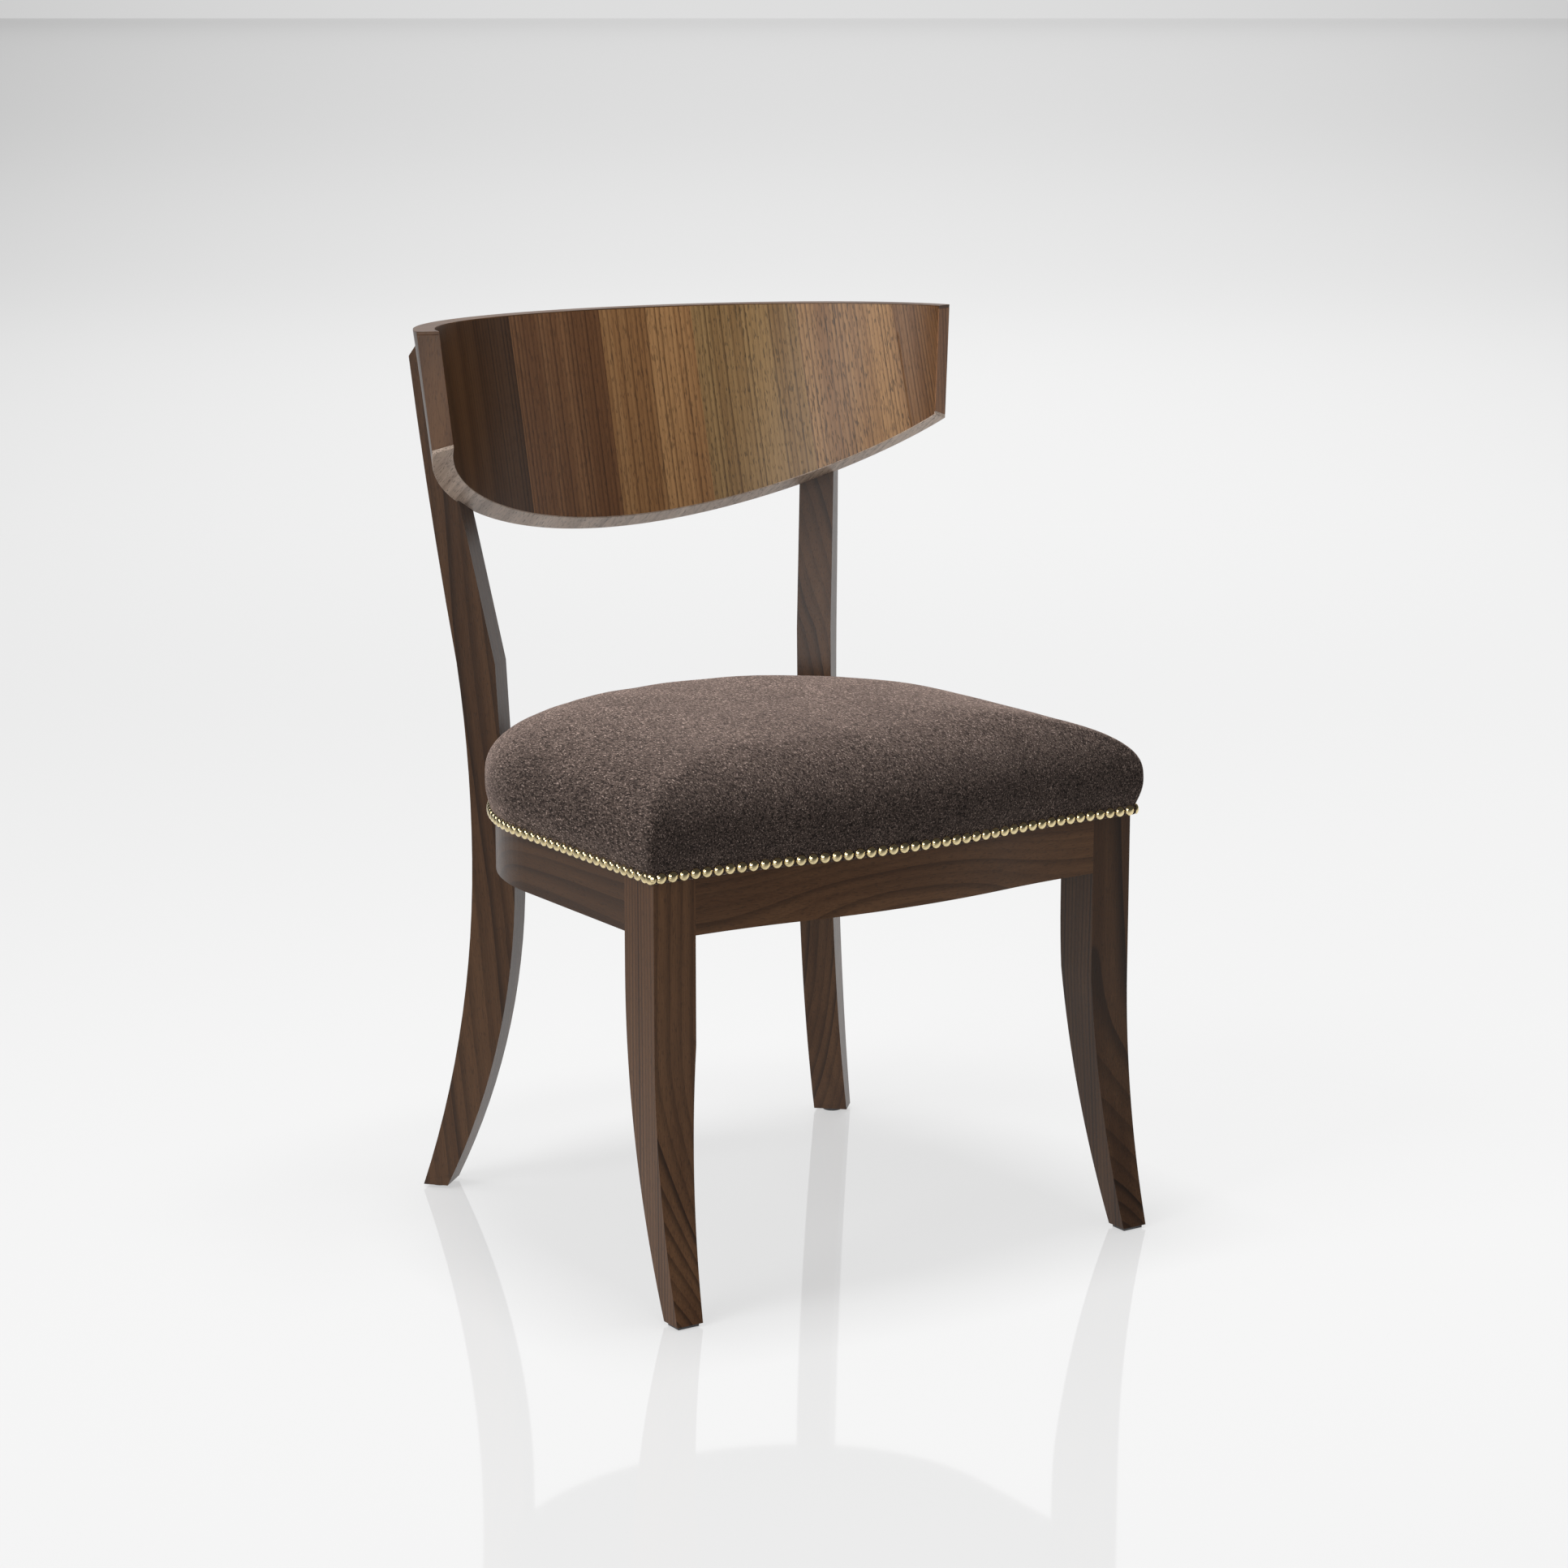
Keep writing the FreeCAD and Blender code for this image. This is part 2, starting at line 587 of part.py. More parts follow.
def mortises():
    """Pockets of a right front leg for both tenons, with their clearance."""
    fit, relief = size("tenon_fit"), size("tenon_relief")
    low = size("tenon_low") - fit
    tall = size("tenon_tall") + 2 * fit
    thick = size("tenon_thick") + 2 * fit
    front = Part.makeBox(size("front_tenon") + relief, thick, tall,
                         Vector(size("leg_inner"), size("front_tenon_face") - fit, low))
    side = Part.makeBox(thick, size("side_tenon") + relief, tall,
                        Vector(size("side_tenon_in") - fit, size("side_tenon_end") - relief, low))
    return Part.makeCompound([front, side])


# Rails

def front_rail():
    body = doc.addObject("PartDesign::Body", "front_rail_body")
    for alias in ("leg_inner", "bow_half"):
        add_negative(alias)
    add_negative("front_tenon_end")
    corners = [("leg_inner_left", "leg_front"), ("bow_half_left", "bow_mid"), ("bow_half", "bow_mid"),
               ("leg_inner", "leg_front"), ("leg_inner", "rail_face"), ("leg_inner_left", "rail_face")]
    bends = {0: ("bow_bend", 1), 1: ("bow_bend", -1), 2: ("bow_bend", 1)}
    plan = add_sketch(body, "front_rail_plan", "XY_Plane", corners, bends, "rail_low")
    add_pad(body, "front_rail_blank", plan, "rail_tall")
    corners = [("front_tenon_end_left", "front_tenon_face"), ("front_tenon_end", "front_tenon_face"),
               ("front_tenon_end", "front_tenon_back"), ("front_tenon_end_left", "front_tenon_back")]
    tenons = add_sketch(body, "front_rail_tenons", "XY_Plane", corners, None, "tenon_low")
    add_pad(body, "front_rail_tenon_pad", tenons, "tenon_tall")
    doc.recompute()
    return body


def add_negative(alias):
    """A cell with the mirrored value of a size, for outlines that cross the middle."""
    row = add_negative.row
    sheet.set(f"A{row}", f"=0 - {alias}")
    sheet.setAlias(f"A{row}", f"{alias}_left")
    add_negative.row = row + 1
    doc.recompute()


add_negative.row = len(SIZES) + len(DERIVED) + 1


def side_rail():
    body = doc.addObject("PartDesign::Body", "side_rail_body")
    corners = [("front_half", "leg_back"), ("front_half", "side_turn"), ("joint_out_x", "joint_out_y"),
               ("joint_in_x", "joint_in_y"), ("side_inner", "side_turn"), ("side_inner", "leg_back")]
    bends = {1: ("side_bend", -1), 3: ("bend_inner", 1)}
    plan = add_sketch(body, "side_rail_plan", "XY_Plane", corners, bends, "rail_low")
    add_pad(body, "side_rail_blank", plan, "rail_tall")
    corners = [("side_tenon_in", "side_tenon_end"), ("side_tenon_out", "side_tenon_end"),
               ("side_tenon_out", "side_tenon_root"), ("side_tenon_in", "side_tenon_root")]
    tenon = add_sketch(body, "side_rail_tenon", "XY_Plane", corners, None, "tenon_low")
    add_pad(body, "side_rail_tenon_pad", tenon, "tenon_tall")
    doc.recompute()
    return body


def rear_rail():
    body = doc.addObject("PartDesign::Body", "rear_rail_body")
    for alias in ("joint_out_x", "joint_in_x"):
        add_negative(alias)
    corners = [("joint_out_x", "joint_out_y"), ("joint_out_x_left", "joint_out_y"),
               ("joint_in_x_left", "joint_in_y"), ("joint_in_x", "joint_in_y")]
    bends = {0: ("rear_bend", -1), 2: ("rear_inner", 1)}
    plan = add_sketch(body, "rear_rail_plan", "XY_Plane", corners, bends, "rail_low")
    add_pad(body, "rear_rail_blank", plan, "rail_tall")
    doc.recompute()
    return body


def joint_dowels():
    """Two dowels across the joint of the right side rail and the rear rail."""
    turn = math.radians(size("joint_turn"))
    radius = size("side_bend") - size("rail_thick") / 2
    middle = Vector(size("bend_x") + radius * math.cos(turn), size("side_turn") + radius * math.sin(turn), 0)
    direction = Vector(-math.sin(turn), math.cos(turn), 0)
    heights = (size("rail_low") + size("dowel_margin"), size("rail_high") - size("dowel_margin"))
    length = size("dowel_long")
    return [rod(size("dowel_bore"), middle - direction * length / 2 + Vector(0, 0, high), direction, length)
            for high in heights]


# Rear legs

def rear_leg():
    body = doc.addObject("PartDesign::Body", "rear_leg_body")
    sheet_row = add_negative.row
    sheet.set(f"A{sheet_row}", "0")
    sheet.setAlias(f"A{sheet_row}", "floor_level")
    add_negative.row = sheet_row + 1
    doc.recompute()
    corners = [("heel_front", "floor_level"), ("heel_back", "floor_level"), ("calf_back", "calf_high"),
               ("kink_back", "kink_high"), ("crown_back", "crown_high"), ("crown_front", "stile_high"),
               ("rest_front", "stile_high"), ("rest_front", "rest_high"), ("kink_front", "kink_high"),
               ("seat_ledge", "rail_high"), ("let_front", "rail_high"), ("let_front", "rail_low"),
               ("shin_front", "rail_low"), ("shin_front", "shin_high")]
    bends = {1: ("calf_bend", 1), 2: ("loin_bend", 1), 3: ("spine_bend", -1), 13: ("heel_bend", -1)}
    side = add_sketch(body, "rear_leg_side", "XZ_Plane", corners, bends)
    add_pad(body, "rear_leg_blank", side, "board_thick", symmetric=True)
    body.Placement = leg_placement()
    doc.recompute()
    return body


def back_screw_sites():
    """Head seat, direction and length of each screw from the right leg into the panel."""
    sites = []
    inward = -leg_direction()
    for high in (size("back_screw_low"), size("back_screw_high")):
        seat = leg_back_reach(high) - size("plug_deep")
        length = seat - panel_rear_reach(high) + size("back_bite")
        sites.append((along_leg(seat, high), inward, length))
    return sites


def plug_bores():
    """Bores over the back screws, which the plugs fill."""
    return [rod(size("plug_bore"), seat, -inward, 2 * size("plug_deep"))
            for seat, inward, length in back_screw_sites()]


# Corner blocks

def front_block():
    """Brace behind the right front leg, notched round it."""
    back, inner = size("rail_face"), size("side_inner")
    leg_in, leg_rear = size("leg_inner"), size("leg_back")
    along, side = size("block_front"), size("block_side")
    corners = [Vector(leg_in - along, back, 0), Vector(leg_in, back, 0), Vector(leg_in, leg_rear, 0),
               Vector(inner, leg_rear, 0), Vector(inner, leg_rear + side, 0)]
    face = Part.Face(Part.makePolygon(corners + corners[:1]))
    face.translate(Vector(0, 0, size("block_low")))
    return face.extrude(Vector(0, 0, size("block_high")))


def front_block_screws():
    """One screw into the front rail and one into the side rail, sunk below the slanted face."""
    start = Vector(size("leg_inner") - size("block_front"), size("rail_face"), 0)
    finish = Vector(size("side_inner"), size("leg_back") + size("block_side"), 0)
    middle = size("block_low") + size("block_high") / 2
    sites = []
    for share, direction in ((0.3, Vector(0, -1, 0)), (0.72, Vector(1, 0, 0))):
        point = start + (finish - start) * share + direction * size("sink_deep")
        sites.append((Vector(point.x, point.y, middle), direction))
    return sites


def inner_prism(low, high):
    """Plan area inside the rails."""
    return frame_prism(-size("rail_thick"), low, high)


def rear_block():
    """Block behind the right rear leg, scribed to the inside of the curved rails."""
    wide = size("rear_block_wide")
    deep = size("rear_block")
    block = Part.makeBox(deep, wide, size("block_high"), Vector(-deep, -wide / 2, size("block_low")))
    block.Placement = Placement(leg_base(), Rotation(Vector(0, 0, 1), size("leg_turn")))
    return block.common(inner_prism(size("block_low"), size("block_low") + size("block_high")))


def leg_bolt_sites():
    """Washer seats of the two bolts through the right rear block."""
    return [leg_base() - leg_direction() * size("rear_block") + Vector(0, 0, high)
            for high in (size("bolt_low"), size("bolt_high"))]


# Upholstery

def pad_sections(shrink):
    """Outlines of the padded seat from the top of the hem to the crown: swell, corner, scale and height."""
    proud, bulge = size("cover_proud"), size("cover_bulge")
    low, box, rise = size("cover_low") + size("hem_high"), size("box_high"), size("crown_rise")
    sections = []
    for share in (0, 0.35, 0.7, 1):
        swell = proud + bulge * math.sin(math.pi / 2 * share) - shrink
        sections.append((swell, size("corner_round"), 1, low + (box - low) * share))
    for scale in (0.99, 0.96, 0.91, 0.83, 0.7, 0.52, 0.3, 0.1):
        dome = (1 - scale ** 3.43) ** (1 / 2.69)
        corner = size("corner_round") * (1 + 12 * (1 - scale))
        sections.append((proud + bulge - shrink, corner, scale, box + rise * dome - shrink * dome))
    return sections


def pad_solid(shrink=0):
    wires = []
    for swell, corner, scale, high in pad_sections(shrink):
        edges = []
        middle = Vector(0, size("crown_place"), high)
        for edge in frame_edges(swell, corner, high):
            points = [edge.valueAt(edge.FirstParameter + (edge.LastParameter - edge.FirstParameter) * share)
                      for share in (0, 0.5, 1)]
            points = [middle + (point - middle) * scale for point in points]
            if edge.Curve.TypeId == "Part::GeomLine":
                edges.append(Part.makeLine(points[0], points[2]))
            else:
                edges.append(Part.Arc(*points).toShape())
        wires.append(Part.Wire(edges))
    return Part.makeLoft(wires, True, False)


def webbing(count, across):
    """Strips in one layer, cut off above the rails."""
    wide, thick = size("web_wide"), size("web_thick")
    low = size("rail_high") + (0 if across else thick)
    clip = frame_prism(-size("web_inset"), low, low + thick)
    reach = 2 * size("chair_top")
    strips = []
    if across:
        first, last = size("leg_back"), size("side_turn") + size("side_bend") - 3 * size("rail_thick")
    else:
        last = size("front_half") - size("leg_wide") - wide
        first = -last
    for number in range(count):
        place = first + (last - first) * number / (count - 1)
        if across:
            strip = Part.makeBox(reach, wide, thick, Vector(-reach / 2, place - wide / 2, low))
        else:
            strip = Part.makeBox(wide, reach, thick, Vector(place - wide / 2, -reach / 2, low))
        strips.append(strip.common(clip))
    return Part.makeCompound(strips)


# Nail rows

def path_points(edges, pitch, start, stop):
    """Points and outward normals along joined edges, one pitch apart."""
    sites = []
    gone = 0
    wanted = start
    for edge in edges:
        while wanted <= gone + edge.Length and wanted <= stop:
            parameter = edge.getParameterByLength(wanted - gone)
            tangent = edge.tangentAt(parameter)
            sites.append((edge.valueAt(parameter), Vector(tangent.y, -tangent.x, 0).normalize()))
            wanted += pitch
        gone += edge.Length
    return sites


def cover_edges():
    """Right half of the cover's outline at the nail row, from the front corner to the middle of the back."""
    edges = frame_edges(size("cover_proud"), 0, size("nail_high"))
    straight, bend, rear = edges[3], edges[4], edges[5]
    middle = rear.valueAt((rear.FirstParameter + rear.LastParameter) / 2)
    first = rear.valueAt(rear.FirstParameter)
    quarter = rear.valueAt(rear.FirstParameter + (rear.LastParameter - rear.FirstParameter) / 4)
    return [straight, bend, Part.Arc(first, quarter, middle).toShape()]


def front_nail_sites():
    """Evenly spaced along the bowed front."""
    edges = frame_edges(size("cover_proud"), 0, size("nail_high"))
    wire = Part.Wire([edges[-2], edges[-1], edges[0], edges[1], edges[2]])
    edge_x = size("nail_edge")
    count = round(2 * edge_x / size("nail_pitch")) + 1
    front = size("leg_front") - size("cover_proud")
    sites = []
    for number in range(count):
        x = -edge_x + 2 * edge_x * number / (count - 1)
        line = Part.makeLine(Vector(x, front - 2 * size("bow") - 1, size("nail_high")),
                             Vector(x, front + 1, size("nail_high")))
        gap, pairs, info = line.distToShape(wire)
        point = pairs[0][0]
        slope = bow_slope(point.x)
        sites.append((point, Vector(slope, -1, 0).normalize()))
    return sites


def bow_slope(x):
    """Slope of the front outline at a distance from the middle."""
    bend, half, flat = size("bow_bend"), size("bow_half"), size("leg_inner")
    distance = abs(x)
    if distance < half:
        slope = distance / bend
    elif distance < flat:
        slope = (flat - distance) / bend
    else:
        slope = 0
    return math.copysign(slope, x)


def side_nail_sites():
    """Right side and right half of the back, without the stretch behind the rear leg."""
    edges = cover_edges()
    total = sum(edge.Length for edge in edges)
    sites = path_points(edges, size("nail_pitch"), size("nail_start"), total - size("nail_pitch") / 4)
    turn = math.radians(size("corner_nail"))
    outward = Vector(math.cos(turn), -math.sin(turn), 0)
    inset = size("corner_round") - size("cover_proud")
    corner = Vector(size("front_half") - inset, size("leg_front") + inset, size("nail_high"))
    sites.insert(0, (corner + outward * size("corner_round"), outward))
    across = Vector(-leg_direction().y, leg_direction().x, 0)
    clear = size("board_thick") / 2 + size("nail_clear")
    kept_side, kept_rear = [], []
    for point, outward in sites:
        away = (point - leg_base()).dot(across)
        if abs(away) < clear and point.y > size("side_turn"):
            continue
        kept = kept_rear if point.y > leg_base().y else kept_side
        kept.append((point, outward))
    return kept_side, kept_rear


def flip_site(site):
    point, outward = site
    return Vector(-point.x, point.y, point.z), Vector(-outward.x, outward.y, outward.z)


def with_shanks(sites, short=()):
    """Add to each site the length of its shank, shorter at the corners, where shanks would meet."""
    lengths = [size("nail_shank")] * len(sites)
    for index in short:
        lengths[index] = size("corner_shank")
    return [(point, outward, length) for (point, outward), length in zip(sites, lengths)]


# Build the frame

leg_blank = front_leg()
front_rail_body = front_rail()
side_rail_body = side_rail()
rear_rail_body = rear_rail()
board = rear_leg()

side_sites, rear_sites = side_nail_sites()
nail_rows = {
    "nails_front": with_shanks(front_nail_sites(), (0, -1)),
    "nails_right": with_shanks(side_sites, (0,)),
    "nails_left": with_shanks([flip_site(site) for site in side_sites], (0,)),
    "nails_rear": with_shanks(rear_sites + [flip_site(site) for site in rear_sites]),
}
nail_bores = {node: Part.makeCompound([nail_bore(*site) for site in row]) for node, row in nail_rows.items()}
all_bores = Part.makeCompound([nail_bore(*site) for row in nail_rows.values() for site in row])
corner_bores = feature("corner_bores", Part.makeCompound([nail_bores["nails_front"], nail_bores["nails_right"]]))

right_dowels = joint_dowels()
all_dowels = Part.makeCompound(right_dowels + [shape.mirror(Vector(0, 0, 0), Vector(1, 0, 0))
                                               for shape in right_dowels])

block_sites = front_block_screws()
block_screws = [wood_screw(point, direction, size("block_screw")) for point, direction in block_sites]
block_sinks = [rod(size("screw_head"), point, -direction, 2 * size("block_front"))
               for point, direction in block_sites]

bolt_seats = leg_bolt_sites()
inward_gap = leg_direction() * size("washer_thick")
bolt_long = size("rear_block") + size("bolt_reach") + size("washer_thick")
leg_bolts = [hex_bolt(seat - inward_gap, leg_direction(), bolt_long) for seat in bolt_seats]
washers = [rod(size("washer_wide"), seat - inward_gap, leg_direction(), size("washer_thick")).cut(
    rod(size("bolt_bore"), seat - inward_gap, leg_direction(), size("washer_thick"))) for seat in bolt_seats]
bolt_bores = [rod(size("bolt_bore"), seat, leg_direction(), size("rear_block") + size("bolt_reach"))
              for seat in bolt_seats]

back_screws = [wood_screw(seat, inward, length) for seat, inward, length in back_screw_sites()]


def mirrored(shapes):
    """Shapes of the right side with their twins on the left."""
    return shapes + [shape.mirror(Vector(0, 0, 0), Vector(1, 0, 0)) for shape in shapes]


pin_right_front = Vector((size("foot_inner") + size("front_half")) / 2,
                         (size("foot_front") + size("foot_back")) / 2, 0)
heel_middle = along_leg((size("heel_front") + size("heel_back")) / 2 - 1, size("glide_thick"))
pin_right_rear = Vector(heel_middle.x, heel_middle.y, 0)


def glide_pin(spot):
    """Nail with a flat head sunk in the glide."""
    sink = size("glide_thick") / 3
    head = rod(size("pin_head"), spot + Vector(0, 0, sink), Vector(0, 0, 1), sink)
    return head.fuse(rod(size("pin_bore"), spot + Vector(0, 0, sink), Vector(0, 0, 1), size("pin_long")))


def glide_cut(spot):
    """Room in a glide for its nail and head, open below."""
    sink = size("glide_thick") / 3
    room = rod(size("pin_head"), spot, Vector(0, 0, 1), 2 * sink)
    return room.fuse(rod(size("pin_bore"), spot, Vector(0, 0, 1), size("pin_long") + sink))


pins = [glide_pin(spot) for spot in (pin_right_front, pin_right_rear)]

leg_tools = feature("front_leg_cuts", Part.makeCompound([front_leg_taper(), mortises(), pins[0]]))
leg_shaped = combine("Cut", "front_leg_shaped", leg_blank, leg_tools)
right_leg = keep("front_leg_right", combine("Cut", "front_leg_cut", leg_shaped, corner_bores))
left_leg = keep("front_leg_left", mirror("front_leg_twin", right_leg))

rail_tools = feature("front_rail_cuts", Part.makeCompound(mirrored(block_screws) + [nail_bores["nails_front"]]))
keep("front_rail", combine("Cut", "front_rail_cut", front_rail_body, rail_tools))

side_tools = feature("side_rail_cuts", Part.makeCompound(
    right_dowels + block_screws + bolt_bores + [nail_bores["nails_right"], nail_bores["nails_rear"]]))
right_side = keep("side_rail_right", combine("Cut", "side_rail_cut", side_rail_body, side_tools))
keep("side_rail_left", mirror("side_rail_twin", right_side))

rear_tools = feature("rear_rail_cuts", Part.makeCompound([all_dowels, nail_bores["nails_rear"]]))
keep("rear_rail", combine("Cut", "rear_rail_cut", rear_rail_body, rear_tools))

keep("rail_dowels", feature("rail_dowels", all_dowels))

# Rear legs, scribed to the rail and to the back of the panel

panel_space = ellipse_loft("panel_space", "sizes.panel_thick")
doc.recompute()
rest_point, rest_normal = lower_plane(0)
panel_seat = panel_space.Shape.common(half_space(rest_point, rest_normal))
floor_block = half_space(Vector(0, 0, size("glide_thick")), Vector(0, 0, -1))
scribe = feature("rear_leg_cuts", Part.makeCompound([
    floor_block,
    frame_prism(0, size("rail_low"), size("rail_high")),
    panel_seat]))
scribed_leg = combine("Cut", "rear_leg_scribed", board, scribe)
bores = feature("rear_leg_bores", Part.makeCompound(bolt_bores + back_screws + plug_bores() + [pins[1]]))
right_rear = keep("rear_leg_right", combine("Cut", "rear_leg_cut", scribed_leg, bores))
left_rear = keep("rear_leg_left", mirror("rear_leg_twin", right_rear))
doc.recompute()

plugs = [bore.common(scribed_leg.Shape) for bore in plug_bores()]
keep("back_screw_plugs", feature("back_screw_plugs", Part.makeCompound(mirrored(plugs))))
keep("back_screws", feature("back_screws", Part.makeCompound(mirrored(back_screws))))

# Blocks and their fixings

right_block = front_block().cut(Part.makeCompound(block_screws + block_sinks))
keep("corner_block_front_right", feature("corner_block_front_right", right_block))
keep("corner_block_front_left", mirror("corner_block_front_left", pieces["corner_block_front_right"]))
right_rear_block = rear_block().cut(Part.makeCompound(bolt_bores))
keep("corner_block_rear_right", feature("corner_block_rear_right", right_rear_block))
keep("corner_block_rear_left", mirror("corner_block_rear_left", pieces["corner_block_rear_right"]))
keep("corner_block_screws", feature("corner_block_screws", Part.makeCompound(mirrored(block_screws))))
keep("rear_leg_bolts", feature("rear_leg_bolts", Part.makeCompound(mirrored(leg_bolts))))
keep("rear_leg_washers", feature("rear_leg_washers", Part.makeCompound(mirrored(washers))))

# Glides

inset = size("glide_inset")
front_glide = Part.makeBox(size("foot_wide") - 2 * inset, size("foot_deep") - 2 * inset, size("glide_thick"),
                           Vector(size("foot_inner") + inset, size("foot_front") + inset, 0))
rear_glide = rod(size("rear_glide"), pin_right_rear, Vector(0, 0, 1), size("glide_thick"))
for name, blank, spot in (("front", front_glide, pin_right_front), ("rear", rear_glide, pin_right_rear)):
    keep(f"glide_{name}_right", feature(f"glide_{name}_right", blank.cut(glide_cut(spot))))
    keep(f"glide_{name}_left", mirror(f"glide_{name}_left", pieces[f"glide_{name}_right"]))
keep("glide_nails", feature("glide_nails", Part.makeCompound(mirrored(pins))))

# Back panel

inner_space = ellipse_loft("inner_space", "0")
front_space = ellipse_loft("front_veneer_space", "sizes.veneer_thick")
rear_space = ellipse_loft("rear_veneer_space", "sizes.panel_thick - sizes.veneer_thick")
core_front = ellipse_loft("core_front_space", "sizes.veneer_thick + sizes.glue_line")
core_rear = ellipse_loft("core_rear_space", "sizes.panel_thick - sizes.veneer_thick - sizes.glue_line")
doc.recompute()
whole = combine("Cut", "panel_whole", panel_space, inner_space)
core_shell = combine("Cut", "panel_core_shell", core_rear, core_front)
front_shell = combine("Cut", "panel_front_shell", front_space, inner_space)
rear_shell = combine("Cut", "panel_rear_shell", panel_space, rear_space)

outer_window = panel_window(0)
inner_window = panel_window(size("lipping"))
lip_point, lip_normal = lower_plane(size("lipping"))
under_lip = half_space(lip_point, -lip_normal)
top_zone = half_space(Vector(0, 0, size("chair_top") - size("lipping")), Vector(0, 0, 1))
field = feature("panel_field", inner_window)
right_zone = half_space(Vector(0, 0, 0), Vector(1, 0, 0))
rim = outer_window.cut(inner_window)
zones = {
    "back_top_lipping": outer_window.common(top_zone),
    "back_bottom_lipping": outer_window.cut(top_zone).common(under_lip),
    "back_end_lipping_right": rim.cut(top_zone).cut(under_lip).common(right_zone),
    "back_end_lipping_left": rim.cut(top_zone).cut(under_lip).cut(right_zone),
}
for node, zone in zones.items():
    keep(node, combine("Common", f"{node}_piece", whole, feature(f"{node}_zone", zone)))

core_blank = combine("Common", "back_core_blank", core_shell, field)
screw_room = feature("back_screw_room", Part.makeCompound(mirrored(back_screws)))
keep("back_core", combine("Cut", "back_core_piece", core_blank, screw_room))
rear_sheet = combine("Common", "rear_veneer_sheet", rear_shell, field)
keep("back_rear_veneer", combine("Cut", "rear_veneer_piece", rear_sheet, screw_room))
front_sheet = combine("Common", "front_veneer_sheet", front_shell, field)
doc.recompute()

leaves = [front_sheet.Shape.common(zone) for zone in leaf_zones()]
keep("back_front_veneer", feature("back_front_veneer", Part.makeCompound(leaves)))

# Webbing, hessian, foam, cover and dust cloth

keep("webbing_side_to_side", feature("webbing_side_to_side", webbing(5, True)))
keep("webbing_front_to_back", feature("webbing_front_to_back", webbing(5, False)))
hessian_low = size("rail_high") + 2 * size("web_thick")
hessian_high = hessian_low + size("hessian_thick")
keep("hessian", feature("hessian", frame_prism(-size("web_inset"), hessian_low, hessian_high)))

frame_room = frame_prism(0, size("cover_low"), size("rail_high"))
platform_room = frame_prism(-size("web_inset"), size("rail_high"), hessian_high)
leg_room = Part.makeCompound(mirrored([scribed_leg.Shape]))
stuffing = pad_solid(size("cover_thick"))
foam = stuffing.cut(Part.makeCompound([frame_room, platform_room])).cut(leg_room)
keep("seat_foam", feature("seat_foam", foam))
hem = frame_prism(size("cover_proud"), size("cover_low"), size("cover_low") + size("hem_high"),
                  size("corner_round"))
hem = hem.cut(frame_room).cut(leg_room).cut(all_bores)
cover = pad_solid().cut(stuffing).cut(leg_room).fuse(hem)
keep("seat_cover", feature("seat_cover", cover))

dust_low = size("rail_low") - size("dust_thick")
dust = frame_prism(-size("dust_inset"), dust_low, size("rail_low"))
leg_notches = Part.makeCompound([right_leg.Shape, left_leg.Shape, right_rear.Shape, left_rear.Shape])
keep("dust_cloth", feature("dust_cloth", dust.cut(leg_notches)))

staple_edges = frame_edges(-size("rail_thick") / 2, 0, dust_low)
staples = []
total_way = sum(edge.Length for edge in staple_edges)
for point, outward in path_points(staple_edges, size("staple_pitch"), size("staple_pitch") / 2, total_way):
    crown = Part.makeBox(size("staple_long"), size("staple_wire"), size("staple_wire"),
                         Vector(-size("staple_long") / 2, -size("staple_wire") / 2, -size("staple_wire")))
    crown.Placement = Placement(point, Rotation(Vector(0, -1, 0), outward))
    clear_of_legs = crown.distToShape(leg_notches)[0] > 1
    if clear_of_legs:
        staples.append(crown)
keep("dust_cloth_staples", feature("dust_cloth_staples", Part.makeCompound(staples)))

for node, row in nail_rows.items():
    keep(node, feature(node, Part.makeCompound([brass_nail(*site) for site in row])))

# Check every object, then write one file for each piece

doc.recompute()
faults = [item.Name for item in doc.Objects if "Invalid" in item.State or "Error" in item.State]
for node, item in pieces.items():
    if item.Shape.isNull() or not item.Shape.isValid() or not item.Shape.Solids:
        faults.append(node)
if faults:
    raise RuntimeError("faulty pieces: " + ", ".join(faults))

os.makedirs("parts", exist_ok=True)
for node, item in pieces.items():
    item.Shape.exportStep(os.path.join("parts", f"{node}.step"))
    print(node, len(item.Shape.Solids), round(item.Shape.Volume / 1000, 2))
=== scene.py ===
import math

import bmesh
import bpy
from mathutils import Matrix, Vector, kdtree, noise


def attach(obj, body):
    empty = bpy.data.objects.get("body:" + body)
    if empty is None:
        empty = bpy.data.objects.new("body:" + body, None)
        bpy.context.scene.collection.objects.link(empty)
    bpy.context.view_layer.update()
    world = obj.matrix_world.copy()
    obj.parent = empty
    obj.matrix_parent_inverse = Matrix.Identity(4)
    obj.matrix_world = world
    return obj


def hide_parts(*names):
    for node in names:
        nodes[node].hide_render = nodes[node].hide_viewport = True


# Klismos dining chair: walnut frame, bowed back panel, domed wool seat and a row of brass nails.
# Metres, +Z up, front towards -Y, left is -X.

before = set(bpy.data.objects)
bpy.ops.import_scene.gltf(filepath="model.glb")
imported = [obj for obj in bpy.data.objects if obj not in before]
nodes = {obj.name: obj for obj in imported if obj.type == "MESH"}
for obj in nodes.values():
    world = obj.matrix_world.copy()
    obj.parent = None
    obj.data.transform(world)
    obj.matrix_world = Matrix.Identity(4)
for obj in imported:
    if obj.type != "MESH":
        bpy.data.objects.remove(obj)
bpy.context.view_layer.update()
scene = bpy.context.scene
MM = 0.001


# Camera, at the photograph's angle; it must see past the far rim of the floor

CAMERA_PLACE = (-1.84085, -2.84700, 1.10546)
CAMERA_DIP, CAMERA_TURN = 11.675, 33.27
FLOOR_RADIUS = 1500


